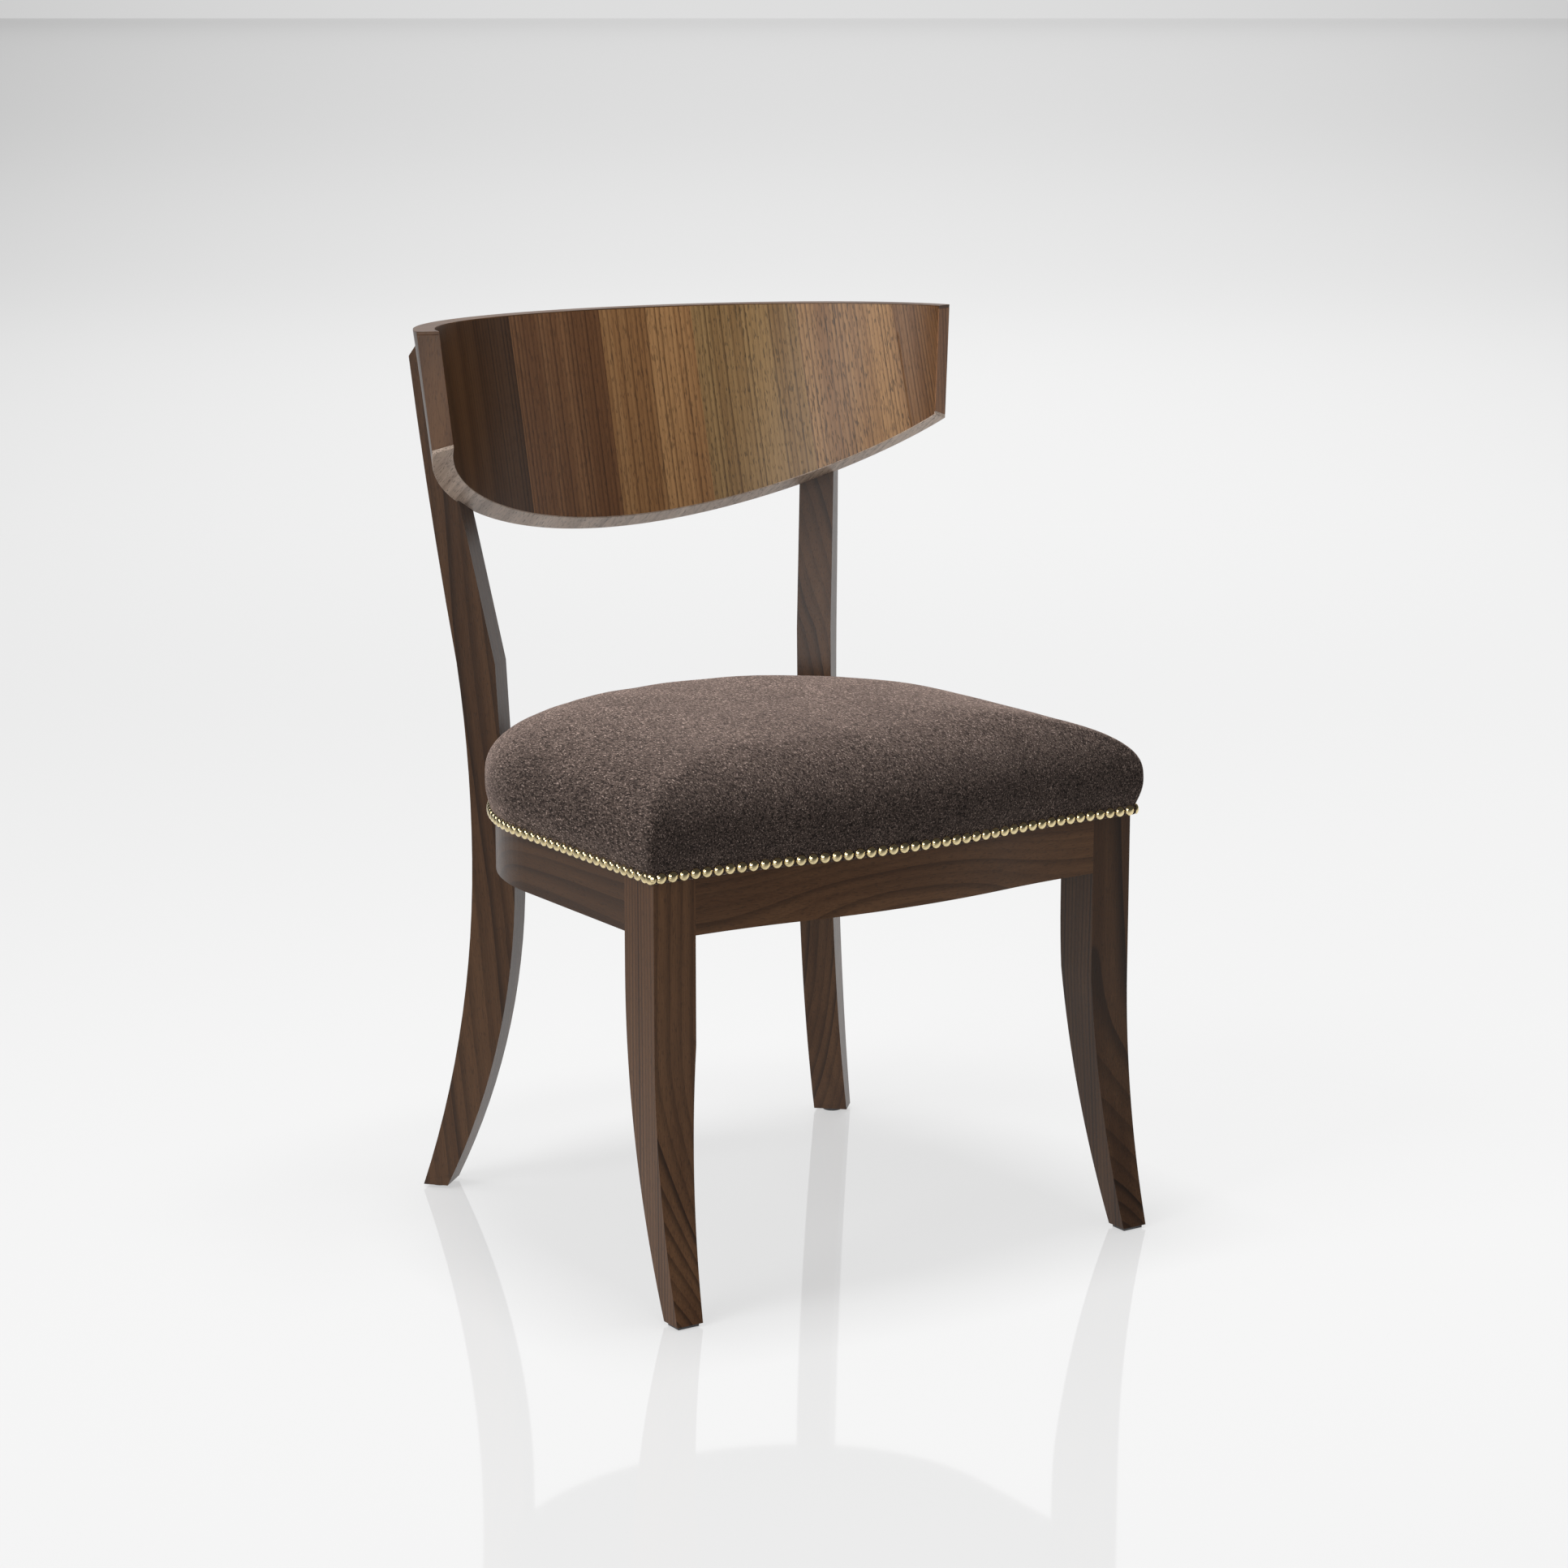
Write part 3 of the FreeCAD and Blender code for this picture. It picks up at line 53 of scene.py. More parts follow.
def add_camera():
    data = bpy.data.cameras.new("camera")
    data.lens = 85.4
    data.sensor_width = 36
    data.clip_end = 5000
    camera = bpy.data.objects.new("camera", data)
    camera.location = CAMERA_PLACE
    camera.rotation_euler = (math.radians(90 - CAMERA_DIP), 0, math.radians(-CAMERA_TURN))
    scene.collection.objects.link(camera)
    scene.camera = camera


add_camera()


# Node helpers

class Graph:
    """Adds nodes to a tree and joins them."""

    def __init__(self, tree):
        self.tree = tree

    def add(self, kind, values=None, **settings):
        node = self.tree.nodes.new(kind)
        for name, value in settings.items():
            setattr(node, name, value)
        for name, value in (values or {}).items():
            self.feed(node.inputs[name], value)
        return node

    def feed(self, socket, value):
        if isinstance(value, bpy.types.NodeSocket):
            self.tree.links.new(value, socket)
        else:
            socket.default_value = value

    def math(self, operation, *values):
        return self.add("ShaderNodeMath", dict(enumerate(values)), operation=operation).outputs[0]

    def product(self, first, second):
        return self.math("MULTIPLY", first, second)

    def vector(self, operation, *values):
        node = self.add("ShaderNodeVectorMath", operation=operation)
        for socket, value in zip((node.inputs[0], node.inputs[1]), values):
            self.feed(socket, value)
        return node.outputs["Value" if operation in ("LENGTH", "DOT_PRODUCT") else "Vector"]

    def scale(self, vector, factor):
        node = self.add("ShaderNodeVectorMath", {0: vector, "Scale": factor}, operation="SCALE")
        return node.outputs["Vector"]

    def split(self, vector):
        return self.add("ShaderNodeSeparateXYZ", {0: vector}).outputs

    def object_place(self):
        return self.add("ShaderNodeTexCoord").outputs["Object"]

    def grey(self, value):
        return self.add("ShaderNodeCombineColor", {"Red": value, "Green": value, "Blue": value}).outputs[0]

    def remap(self, value, low, high, to_low=0.0, to_high=1.0, kind="SMOOTHSTEP"):
        node = self.add("ShaderNodeMapRange", {"Value": value, "From Min": low, "From Max": high,
                                               "To Min": to_low, "To Max": to_high},
                        interpolation_type=kind)
        return node.outputs["Result"]

    def mix(self, share, first, second, blend="MIX"):
        node = self.add("ShaderNodeMix", data_type="RGBA", blend_type=blend)
        self.feed(node.inputs["Factor"], share)
        self.feed(node.inputs["A"], first)
        self.feed(node.inputs["B"], second)
        return node.outputs["Result"]

    def noise(self, vector, scale, detail=2.0, rough=0.5, output="Fac"):
        node = self.add("ShaderNodeTexNoise", {"Vector": vector, "Scale": scale, "Detail": detail,
                                               "Roughness": rough})
        return node.outputs[output]

    def stretch(self, vector, scale, turn=(0, 0, 0), shift=(0, 0, 0)):
        node = self.add("ShaderNodeMapping", {"Vector": vector, "Scale": scale, "Rotation": turn,
                                              "Location": shift})
        return node.outputs["Vector"]


def make_group(name, inputs, outputs):
    """Shader group with named sockets; inputs and outputs give the kind of each name."""
    tree = bpy.data.node_groups.new(name, "ShaderNodeTree")
    for way, sockets in (("INPUT", inputs), ("OUTPUT", outputs)):
        for label, kind in sockets.items():
            tree.interface.new_socket(label, in_out=way, socket_type=f"NodeSocket{kind}")
    graph = Graph(tree)
    return graph, graph.add("NodeGroupInput").outputs, graph.add("NodeGroupOutput").inputs


def wood_group():
    """Wood with its grain along Z: growth rings, broad streaks, fibres and pores."""
    graph, given, out = make_group(
        "wood figure",
        {"Vector": "Vector", "Ring Width": "Float", "Wander": "Float", "Ring Strength": "Float",
         "Streak Strength": "Float", "Pore Strength": "Float", "Pore Size": "Float", "Dark": "Color",
         "Middle": "Color", "Light": "Color"},
        {"Color": "Color", "Roughness": "Float", "Height": "Float"})
    place = given["Vector"]
    drift = graph.noise(graph.stretch(place, (1, 1, 0.16)), 9.0, output="Color")
    drift = graph.vector("SUBTRACT", drift, (0.5, 0.5, 0.5))
    moved = graph.vector("ADD", place, graph.scale(drift, given["Wander"]))
    from_heart = graph.vector("LENGTH", graph.vector("MULTIPLY", moved, (1, 1, 0)))
    years = graph.math("DIVIDE", from_heart, given["Ring Width"])
    season = graph.math("FRACT", years)
    year_look = graph.add("ShaderNodeTexWhiteNoise", {"W": graph.math("FLOOR", years)},
                          noise_dimensions="1D").outputs["Value"]
    late = graph.product(graph.remap(season, 0.35, 0.96), graph.remap(season, 1.0, 0.96))
    late = graph.product(late, graph.remap(year_look, 0.0, 1.0, 0.35, 1.0))
    late = graph.product(late, given["Ring Strength"])
    streak = graph.noise(graph.stretch(moved, (1, 1, 0.03)), 42.0, 3.0, 0.55)
    streak = graph.product(graph.remap(streak, 0.36, 0.66), given["Streak Strength"])
    fibre = graph.noise(graph.stretch(place, (1, 1, 0.022)), 1500.0, 3.0, 0.7)
    pore_fineness = graph.math("DIVIDE", 1.0, given["Pore Size"])
    pore = graph.noise(graph.stretch(moved, (1, 1, 0.17)), pore_fineness, 1.0, 0.4)
    pore = graph.product(graph.remap(pore, 0.57, 0.68), given["Pore Strength"])
    colour = graph.mix(streak, given["Middle"], given["Light"])
    colour = graph.mix(late, colour, given["Dark"])
    shade = graph.remap(fibre, 0.25, 0.75, 0.72, 1.22, "LINEAR")
    colour = graph.mix(1.0, colour, graph.grey(shade), "MULTIPLY")
    colour = graph.mix(graph.product(pore, 0.75), colour, (0.012, 0.007, 0.004, 1))
    graph.feed(out["Color"], colour)
    graph.feed(out["Roughness"], graph.remap(fibre, 0.2, 0.8, 0.30, 0.44, "LINEAR"))
    graph.feed(out["Height"], graph.math("SUBTRACT", graph.product(fibre, 0.25), pore))
    return graph.tree


def weave_group():
    """Plain weave from two crossed sets of threads."""
    graph, given, out = make_group(
        "thread weave",
        {"Vector": "Vector", "Thread": "Float", "Light": "Color", "Dark": "Color"},
        {"Color": "Color", "Height": "Float"})
    axes = graph.split(given["Vector"])
    waves = []
    for axis in ("X", "Y"):
        turn = graph.math("DIVIDE", graph.product(axes[axis], math.pi), given["Thread"])
        waves.append(graph.math("ABSOLUTE", graph.math("SINE", turn)))
    height = graph.product(waves[0], waves[1])
    lint = graph.noise(given["Vector"], 900.0)
    share = graph.product(height, graph.remap(lint, 0.3, 0.7, 0.5, 1.0))
    graph.feed(out["Color"], graph.mix(share, given["Dark"], given["Light"]))
    graph.feed(out["Height"], height)
    return graph.tree


def wool_group():
    """Felted melange wool: fine light and dark fibres with soft clouding."""
    graph, given, out = make_group(
        "wool melange",
        {"Vector": "Vector", "Fibre": "Float", "Dark": "Color", "Middle": "Color", "Light": "Color"},
        {"Color": "Color", "Height": "Float"})
    fineness = graph.math("DIVIDE", 1.0, given["Fibre"])
    place = given["Vector"]
    swirl = graph.noise(place, graph.product(fineness, 0.35), 1.0, output="Color")
    curl = graph.scale(graph.vector("SUBTRACT", swirl, (0.5, 0.5, 0.5)), 0.0022)
    bent = graph.vector("ADD", place, curl)
    hair = graph.noise(bent, fineness, 3.0, 0.65)
    fleck = graph.noise(graph.stretch(bent, (1, 1, 1), shift=(0.31, 0.17, 0.05)),
                        graph.product(fineness, 1.7), 2.0, 0.6)
    cloud = graph.noise(place, 26.0, 3.0, 0.6)
    colour = graph.mix(graph.remap(hair, 0.38, 0.62), given["Dark"], given["Middle"])
    colour = graph.mix(graph.product(graph.remap(fleck, 0.56, 0.7), 0.8), colour, given["Light"])
    shade = graph.remap(cloud, 0.3, 0.7, 0.86, 1.12, "LINEAR")
    graph.feed(out["Color"], graph.mix(1.0, colour, graph.grey(shade), "MULTIPLY"))
    graph.feed(out["Height"], graph.math("ADD", hair, graph.product(fleck, 0.6)))
    return graph.tree


WOOD = wood_group()
WEAVE = weave_group()
WOOL = wool_group()


# Materials

def start_material(name, roughness=0.5, **constants):
    """Material with a Principled shader; constants are set straight on its sockets."""
    material = bpy.data.materials.new(name)
    material.use_nodes = True
    graph = Graph(material.node_tree)
    shader = material.node_tree.nodes["Principled BSDF"]
    shader.inputs["Roughness"].default_value = roughness
    for label, value in constants.items():
        shader.inputs[label.replace("_", " ")].default_value = value
    return material, graph, shader


def add_bump(graph, shader, height, strength, depth):
    bump = graph.add("ShaderNodeBump", {"Height": height, "Strength": strength, "Distance": depth})
    graph.feed(shader.inputs["Normal"], bump.outputs["Normal"])


def toned(colour, shade):
    return tuple(channel * shade for channel in colour[:3]) + (1,)


WALNUT_DARK = (0.018, 0.0072, 0.003, 1)
WALNUT_MIDDLE = (0.086, 0.0385, 0.0165, 1)
WALNUT_LIGHT = (0.142, 0.069, 0.031, 1)


def wood(name, turn=(0, 0, 0), heart=(0.05, 0.04, 0), ring=0.0055, wander=0.014, rings=0.75, pores=0.4,
         dark=WALNUT_DARK, middle=WALNUT_MIDDLE, light=WALNUT_LIGHT, shade=1.0):
    """Satin lacquered wood; turn lays the grain, heart is where the middle of the tree would be, and shade
    scales its colours, which paints light and shade on single pieces.
    """
    material, graph, shader = start_material(name, IOR=1.45, Specular_IOR_Level=0.28)
    turn = tuple(math.radians(angle) for angle in turn)
    place = graph.stretch(graph.object_place(), (1, 1, 1), turn, heart)
    figure = graph.add("ShaderNodeGroup", {
        "Vector": place, "Ring Width": ring, "Wander": wander, "Ring Strength": rings,
        "Streak Strength": 0.75, "Pore Strength": pores, "Pore Size": 0.001, "Dark": toned(dark, shade),
        "Middle": toned(middle, shade), "Light": toned(light, shade)}, node_tree=WOOD).outputs
    graph.feed(shader.inputs["Base Color"], figure["Color"])
    graph.feed(shader.inputs["Roughness"], figure["Roughness"])
    add_bump(graph, shader, figure["Height"], 0.25, 0.0003)
    return material


def veneer_material():
    """Book of veneer leaves: each leaf has its own tone, which also paints the light and shade on it, and its
    grain runs along the leaf.
    """
    material, graph, shader = start_material("leaf_veneer", IOR=1.45, Specular_IOR_Level=0.4)
    axes = graph.split(graph.add("ShaderNodeUVMap", uv_map="leaf").outputs["UV"])
    laid = graph.add("ShaderNodeCombineXYZ", {"X": axes["X"], "Y": 0.3, "Z": axes["Y"]}).outputs[0]
    leaf_look = graph.add("ShaderNodeAttribute", attribute_name="leaf_tone_and_painted_light").outputs["Color"]
    looks = graph.add("ShaderNodeSeparateColor", {0: leaf_look}).outputs
    shade, pores, warmth = looks["Red"], looks["Green"], looks["Blue"]
    figure = graph.add("ShaderNodeGroup", {
        "Vector": laid, "Ring Width": 0.0052, "Wander": 0.007, "Ring Strength": 0.8, "Streak Strength": 0.9,
        "Pore Strength": pores, "Pore Size": 0.0013, "Dark": (0.050, 0.021, 0.007, 1),
        "Middle": (0.160, 0.074, 0.027, 1), "Light": (0.250, 0.130, 0.053, 1)}, node_tree=WOOD).outputs
    # Painted light and shade: each leaf's tone darkens the shaded leaves and lightens the highlighted ones,
    # and a lower warmth greys the highlight.
    tint = graph.add("ShaderNodeCombineColor", {"Red": graph.product(shade, warmth), "Green": shade,
                                                "Blue": shade}).outputs[0]
    graph.feed(shader.inputs["Base Color"], graph.mix(1.0, figure["Color"], tint, "MULTIPLY"))
    graph.feed(shader.inputs["Roughness"], figure["Roughness"])
    add_bump(graph, shader, figure["Height"], 0.3, 0.0003)
    return material


def wool_material():
    """Melange wool with its nap from front to back; its colour is made lighter where it is seen at a low
    angle, a painted sheen.
    """
    material, graph, shader = start_material(
        "wool_cloth", 0.95, Sheen_Weight=0.28, Sheen_Roughness=0.34, Sheen_Tint=(0.98, 0.76, 0.67, 1),
        Specular_IOR_Level=0.1)
    nap = graph.stretch(graph.object_place(), (1.0, 0.35, 1.0))
    figure = graph.add("ShaderNodeGroup", {
        "Vector": nap, "Fibre": 0.0019, "Dark": (0.010, 0.007, 0.006, 1), "Middle": (0.062, 0.045, 0.038, 1),
        "Light": (0.300, 0.228, 0.195, 1)}, node_tree=WOOL).outputs
    # Painted sheen: the base colour is lightened up to four times as the surface turns away from the view.
    graze = graph.math("POWER", graph.add("ShaderNodeLayerWeight", {"Blend": 0.5}).outputs["Facing"], 3.5)
    painted_sheen = graph.remap(graze, 0.0, 1.0, 1.0, 4.0, "LINEAR")
    graph.feed(shader.inputs["Base Color"], graph.scale(figure["Color"], painted_sheen))
    add_bump(graph, shader, figure["Height"], 0.9, 0.0008)
    return material


def woven(name, thread, light, dark):
    material, graph, shader = start_material(name, 0.9)
    figure = graph.add("ShaderNodeGroup", {"Vector": graph.object_place(), "Thread": thread, "Light": light,
                                           "Dark": dark}, node_tree=WEAVE).outputs
    graph.feed(shader.inputs["Base Color"], figure["Color"])
    add_bump(graph, shader, figure["Height"], 0.5, 0.0004)
    return material


def metal(name, colour, roughness):
    """Polished or plated metal with slight handling marks in its gloss."""
    material, graph, shader = start_material(name, Metallic=1.0)
    marks = graph.noise(graph.object_place(), 300.0, 3.0, 0.6)
    graph.feed(shader.inputs["Roughness"], graph.remap(marks, 0.3, 0.7, roughness - 0.03, roughness + 0.06))
    graph.feed(shader.inputs["Base Color"],
               graph.mix(graph.remap(marks, 0.45, 0.75), colour, toned(colour, 0.8)))
    return material


def grainy(name, first, second, roughness, scale, bump=0.3):
    """Moulded plastic or foam: two close colours in a fine grain."""
    material, graph, shader = start_material(name, roughness)
    grain = graph.noise(graph.object_place(), scale, 3.0, 0.6)
    graph.feed(shader.inputs["Base Color"], graph.mix(graph.remap(grain, 0.35, 0.65), first, second))
    add_bump(graph, shader, grain, bump, 0.0004)
    return material


# Meshes and pieces

def merged_shape(node):
    """Editable copy of a node's mesh with its faces joined along their edges."""
    shape = bmesh.new()
    shape.from_mesh(nodes[node].data)
    bmesh.ops.remove_doubles(shape, verts=shape.verts, dist=2e-6)
    return shape


def smooth_shape(shape, sharp_angle):
    """Smooth faces, with sharp edges where they meet at more than an angle in degrees."""
    for face in shape.faces:
        face.smooth = True
    for edge in shape.edges:
        edge.smooth = len(edge.link_faces) == 2 and edge.calc_face_angle(0) < math.radians(sharp_angle)


def mesh_from(name, shape):
    mesh = bpy.data.meshes.new(name)
    shape.to_mesh(mesh)
    shape.free()
    return mesh


def add_piece(name, mesh, *materials):
    piece = bpy.data.objects.new(name, mesh)
    scene.collection.objects.link(piece)
    mesh.materials.clear()
    for material in materials:
        mesh.materials.append(material)
    return piece


def finish_piece(piece, node):
    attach(piece, "root")
    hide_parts(node)


def dress(node, material, easing=0.00035):
    """Copy of a node with merged faces, smooth curves and slightly rounded edges."""
    shape = merged_shape(node)
    bmesh.ops.dissolve_limit(shape, angle_limit=math.radians(0.3), verts=shape.verts, edges=shape.edges)
    for face in shape.faces:
        face.material_index = 0
    smooth_shape(shape, 28)
    piece = add_piece(f"{node}_finished", mesh_from(f"{node}_finished", shape), material)
    bevel = piece.modifiers.new("eased edges", "BEVEL")
    bevel.width = easing
    bevel.segments = 2
    bevel.limit_method = "ANGLE"
    bevel.angle_limit = math.radians(35)
    bevel.harden_normals = True
    finish_piece(piece, node)


# Wooden pieces and the lie of their grain: upright in the legs, lengthwise in the rails

GRAIN_X = (0, -90, 0)
GRAIN_Y = (90, 0, 0)
BOARD_TURN = 46.9

WOODEN = {
    "front_leg_left": dict(heart=(0.31, 0.40, 0), ring=0.0046, turn=(0.5, 0.6, 0), rings=0.9, shade=0.95),
    # Painted shade: the right front leg and the rear legs are darker copies of the same walnut where they lie
    # in shade.
    "front_leg_right": dict(heart=(-0.20, 0.44, 0), ring=0.0050, turn=(-0.6, 0.4, 0), rings=0.9, shade=0.6),
    "rear_leg_left": dict(heart=(0.02, -0.28, 0), ring=0.0075, turn=(4, 3, BOARD_TURN), wander=0.03,
                          shade=0.66),
    "rear_leg_right": dict(heart=(-0.03, -0.27, 0), ring=0.0065, turn=(-5, 3, -BOARD_TURN), wander=0.03,
                           shade=0.82),
    "front_rail": dict(heart=(0.30, 0.33, 0), ring=0.0055, turn=GRAIN_X, wander=0.02, rings=0.5, shade=0.9),
    # Painted shade: the left side rail is made darker for the shade under the seat's overhang.
    "side_rail_left": dict(heart=(0.30, 0.33, 0), ring=0.008, turn=GRAIN_Y, wander=0.03, rings=0.5,
                           shade=0.58),
    "side_rail_right": dict(heart=(-0.22, 0.31, 0), ring=0.008, turn=GRAIN_Y, wander=0.03, rings=0.5),
    "rear_rail": dict(heart=(0.28, -0.10, 0), ring=0.006, turn=GRAIN_X, wander=0.02),
    "back_top_lipping": dict(heart=(0.1, 0.1, 0), turn=GRAIN_X),
    # Painted light: the bottom lipping is lighter and greyer than the other walnut, for the pale floor
    # lighting its lower edge.
    "back_bottom_lipping": dict(heart=(0.1, 0.2, 0), turn=(122.75, 0, 0), ring=0.004, rings=0.5, pores=0.8,
                                shade=1.8, dark=(0.10, 0.07, 0.05, 1), middle=(0.24, 0.18, 0.14, 1),
                                light=(0.34, 0.27, 0.22, 1)),
    "back_end_lipping_left": dict(heart=(0.33, 0.05, 0), ring=0.004, shade=1.05),
    # Painted highlight: the right end lipping is the same walnut made much lighter for the gloss on it.
    "back_end_lipping_right": dict(heart=(-0.23, 0.06, 0), ring=0.004, shade=2.7),
    "back_screw_plugs": dict(heart=(0.1, 0.1, 0), turn=GRAIN_X),
}
for node, figure in WOODEN.items():
    dress(node, wood(f"walnut_{node}", **figure))

BEECH = dict(dark=(0.30, 0.17, 0.09, 1), middle=(0.46, 0.29, 0.17, 1), light=(0.55, 0.37, 0.23, 1),
             rings=0.25, pores=0.3)
PLY = dict(BEECH, dark=(0.22, 0.12, 0.06, 1), ring=0.003, rings=0.6)


# Back panel: its faces are ruled between two half ellipses that share their middle

APEX_Y = 245.2
CHAIR_TOP = 830.0
PANEL_TALL = 230
TOP_HALF, TOP_DEPTH = 275.6, 164.3
HALF_LOSS, DEPTH_GAIN = 8.5, 69.3
LOW_EDGE, LOW_SLOPE = 628.4, math.radians(32.75)
END_TURN, END_LEAN = math.radians(24.5), math.radians(1.5)
END_CORNER = (274.0, 101.3, CHAIR_TOP)
# How much of the lippings the leaves leave bare at the panel's edges
BARE_EDGE = 1.0


def last_true(low, high, test):
    """Largest value between low and high for which a test holds, when it stops holding on the way."""
    for step in range(40):
        middle = (low + high) / 2
        if test(middle):
            low = middle
        else:
            high = middle
    return low


def panel_point(angle, high, out):
    """Point of a panel face: angle round the curve, height, and distance out from the inner face."""
    share = (CHAIR_TOP - high) / PANEL_TALL
    half = TOP_HALF - HALF_LOSS * share + out
    depth = TOP_DEPTH + DEPTH_GAIN * share + out
    return Vector((half * math.sin(angle), APEX_Y + out - depth + depth * math.cos(angle), high))


def panel_low(angle, out):
    """Height at which the leaves of a face end at the slanting lower edge."""
    slope = math.tan(LOW_SLOPE)
    rise = BARE_EDGE / math.cos(LOW_SLOPE)
    high = 700.0
    for step in range(30):
        high = LOW_EDGE + rise - slope * (panel_point(angle, high, out).y - APEX_Y)
    return high


def panel_end_angle(high, out):
    """Angle at which the leaves of a face end at the panel's right end."""
    normal = Vector((-math.sin(END_TURN) * math.cos(END_LEAN), math.cos(END_TURN) * math.cos(END_LEAN),
                     -math.sin(END_LEAN)))
    corner = Vector(END_CORNER) + normal * BARE_EDGE
    return last_true(0.8, 1.7, lambda angle: (panel_point(angle, high, out) - corner).dot(normal) > 0)


# Leaves of the veneers: the seam at the right of each, as a turn round the curve, and the leaf's look
# The tones also paint light and shade: the left leaves are painted dark as shade, the middle leaves light and
# less warm as a broad highlight.
LEAVES = [
    # seam, tone with painted light and shade, pores, warmth lowered for the painted highlight
    (-54.0, 0.25, 0.35, 1.12),
    (-26.0, 0.33, 0.35, 1.14),
    (-2.0, 1.02, 0.45, 1.10),
    (19.0, 2.0, 0.55, 0.97),
    (42.8, 1.66, 0.70, 0.86),
    (68.7, 1.52, 0.85, 0.96),
    (90.0, 0.80, 0.50, 1.06),
]
LEAF_COLUMNS, LEAF_ROWS = 14, 20
SEAM_LEAN = math.radians(7.8)
SEAM_HIGH, SEAM_HALF = CHAIR_TOP - 115, 271.35
# How much further down the leaves reach, and how far they stand out from the solids' faces
LAP, PROUD_LEAF = 0.15, 0.08
VENEER_THICK, PANEL_THICK = 0.9, 19.8


def seam_angle(index, high, out):
    """Angle on a face at which the seam after a leaf runs; seams lean along the curve."""
    if index < 0 or index == len(LEAVES) - 1:
        return math.copysign(math.pi / 2, index)
    turn = math.radians(LEAVES[index][0])
    slope = math.tan(SEAM_LEAN) * math.cos(turn) - HALF_LOSS / PANEL_TALL * math.sin(turn)
    x = SEAM_HALF * math.sin(turn) + (SEAM_HIGH - high) * slope
    half = TOP_HALF - HALF_LOSS * (CHAIR_TOP - high) / PANEL_TALL + out
    return math.asin(max(-1.0, min(1.0, x / half)))


def leaf_grid(shape, leaf, out):
    """Rows of (vertex, place on the map) over one skin of a leaf; each height settles in a few rounds."""
    top = CHAIR_TOP - BARE_EDGE
    rows = []
    for row in range(LEAF_ROWS + 1):
        across = []
        for column in range(LEAF_COLUMNS + 1):
            share = row / LEAF_ROWS
            high = top
            for step in range(6):
                end = panel_end_angle(high, out)
                left = max(seam_angle(leaf - 1, high, out), -end)
                right = min(seam_angle(leaf, high, out), end)
                angle = left + (right - left) * column / LEAF_COLUMNS
                low = panel_low(angle, out) - LAP
                high = low + (top - low) * share
            vertex = shape.verts.new(panel_point(angle, high, out) * MM)
            width = 0.27 * (right - left)
            across.append((vertex, (1.1 + leaf * 0.7 + width * column / LEAF_COLUMNS, high * MM)))
        rows.append(across)
    return rows


def veneer_face(name, node, near, far):
    """Both skins of one veneer with a leaf-wise map; near and far are distances out from the inner face."""
    shape = bmesh.new()
    uv = shape.loops.layers.uv.new("leaf")
    tone = shape.loops.layers.float_color.new("leaf_tone_and_painted_light")
    done = 0
    for leaf, look in enumerate(LEAVES):
        grids = [leaf_grid(shape, leaf, out) for out in (near, far)]
        for side, rows in enumerate(grids):
            for low, high in zip(rows, rows[1:]):
                for a, b, c, d in zip(low, low[1:], high[1:], high):
                    add_mapped_face(shape, uv, (a, b, c, d) if side == 0 else (d, c, b, a))
        close_sides(shape, uv, grids)
        shape.faces.ensure_lookup_table()
        for face in shape.faces[done:]:
            for loop in face.loops:
                loop[tone] = look[1:] + (1,)
        done = len(shape.faces)
    shape.normal_update()
    smooth_shape(shape, 35)
    finish_piece(add_piece(name, mesh_from(name, shape), VENEER), node)


def add_mapped_face(shape, uv, corners):
    face = shape.faces.new([vertex for vertex, place in corners])
    for loop, (vertex, place) in zip(face.loops, corners):
        loop[uv].uv = place


def close_sides(shape, uv, grids):
    """Joins the rims of the two skins of one leaf."""
    rims = []
    for rows in grids:
        rims.append(rows[0] + [row[-1] for row in rows[1:]] + rows[-1][-2::-1]
                    + [row[0] for row in rows[-2:0:-1]])
    near, far = rims
    for index in range(len(near)):
        following = (index + 1) % len(near)
        add_mapped_face(shape, uv, (near[following], near[index], far[index], far[following]))


VENEER = veneer_material()
veneer_face("front_veneer_leaves", "back_front_veneer", -PROUD_LEAF, VENEER_THICK)
veneer_face("rear_veneer_leaves", "back_rear_veneer", PANEL_THICK - VENEER_THICK, PANEL_THICK + PROUD_LEAF)


# Seat outline in plan, as in the frame it is stretched over

HALF, FRONT, BOW, LEG_INNER = 256.0, -230.4, 15.5, 214.0
BEND_X, TURN_Y, BEND = 44.0, -10.0, 212.0
JOINT = math.radians(60)
BOW_BEND = (LEG_INNER ** 2 + BOW ** 2) / (4 * BOW)
REAR_BEND = BEND + BEND_X / math.cos(JOINT)
REAR_MIDDLE = TURN_Y - BEND_X * math.tan(JOINT)


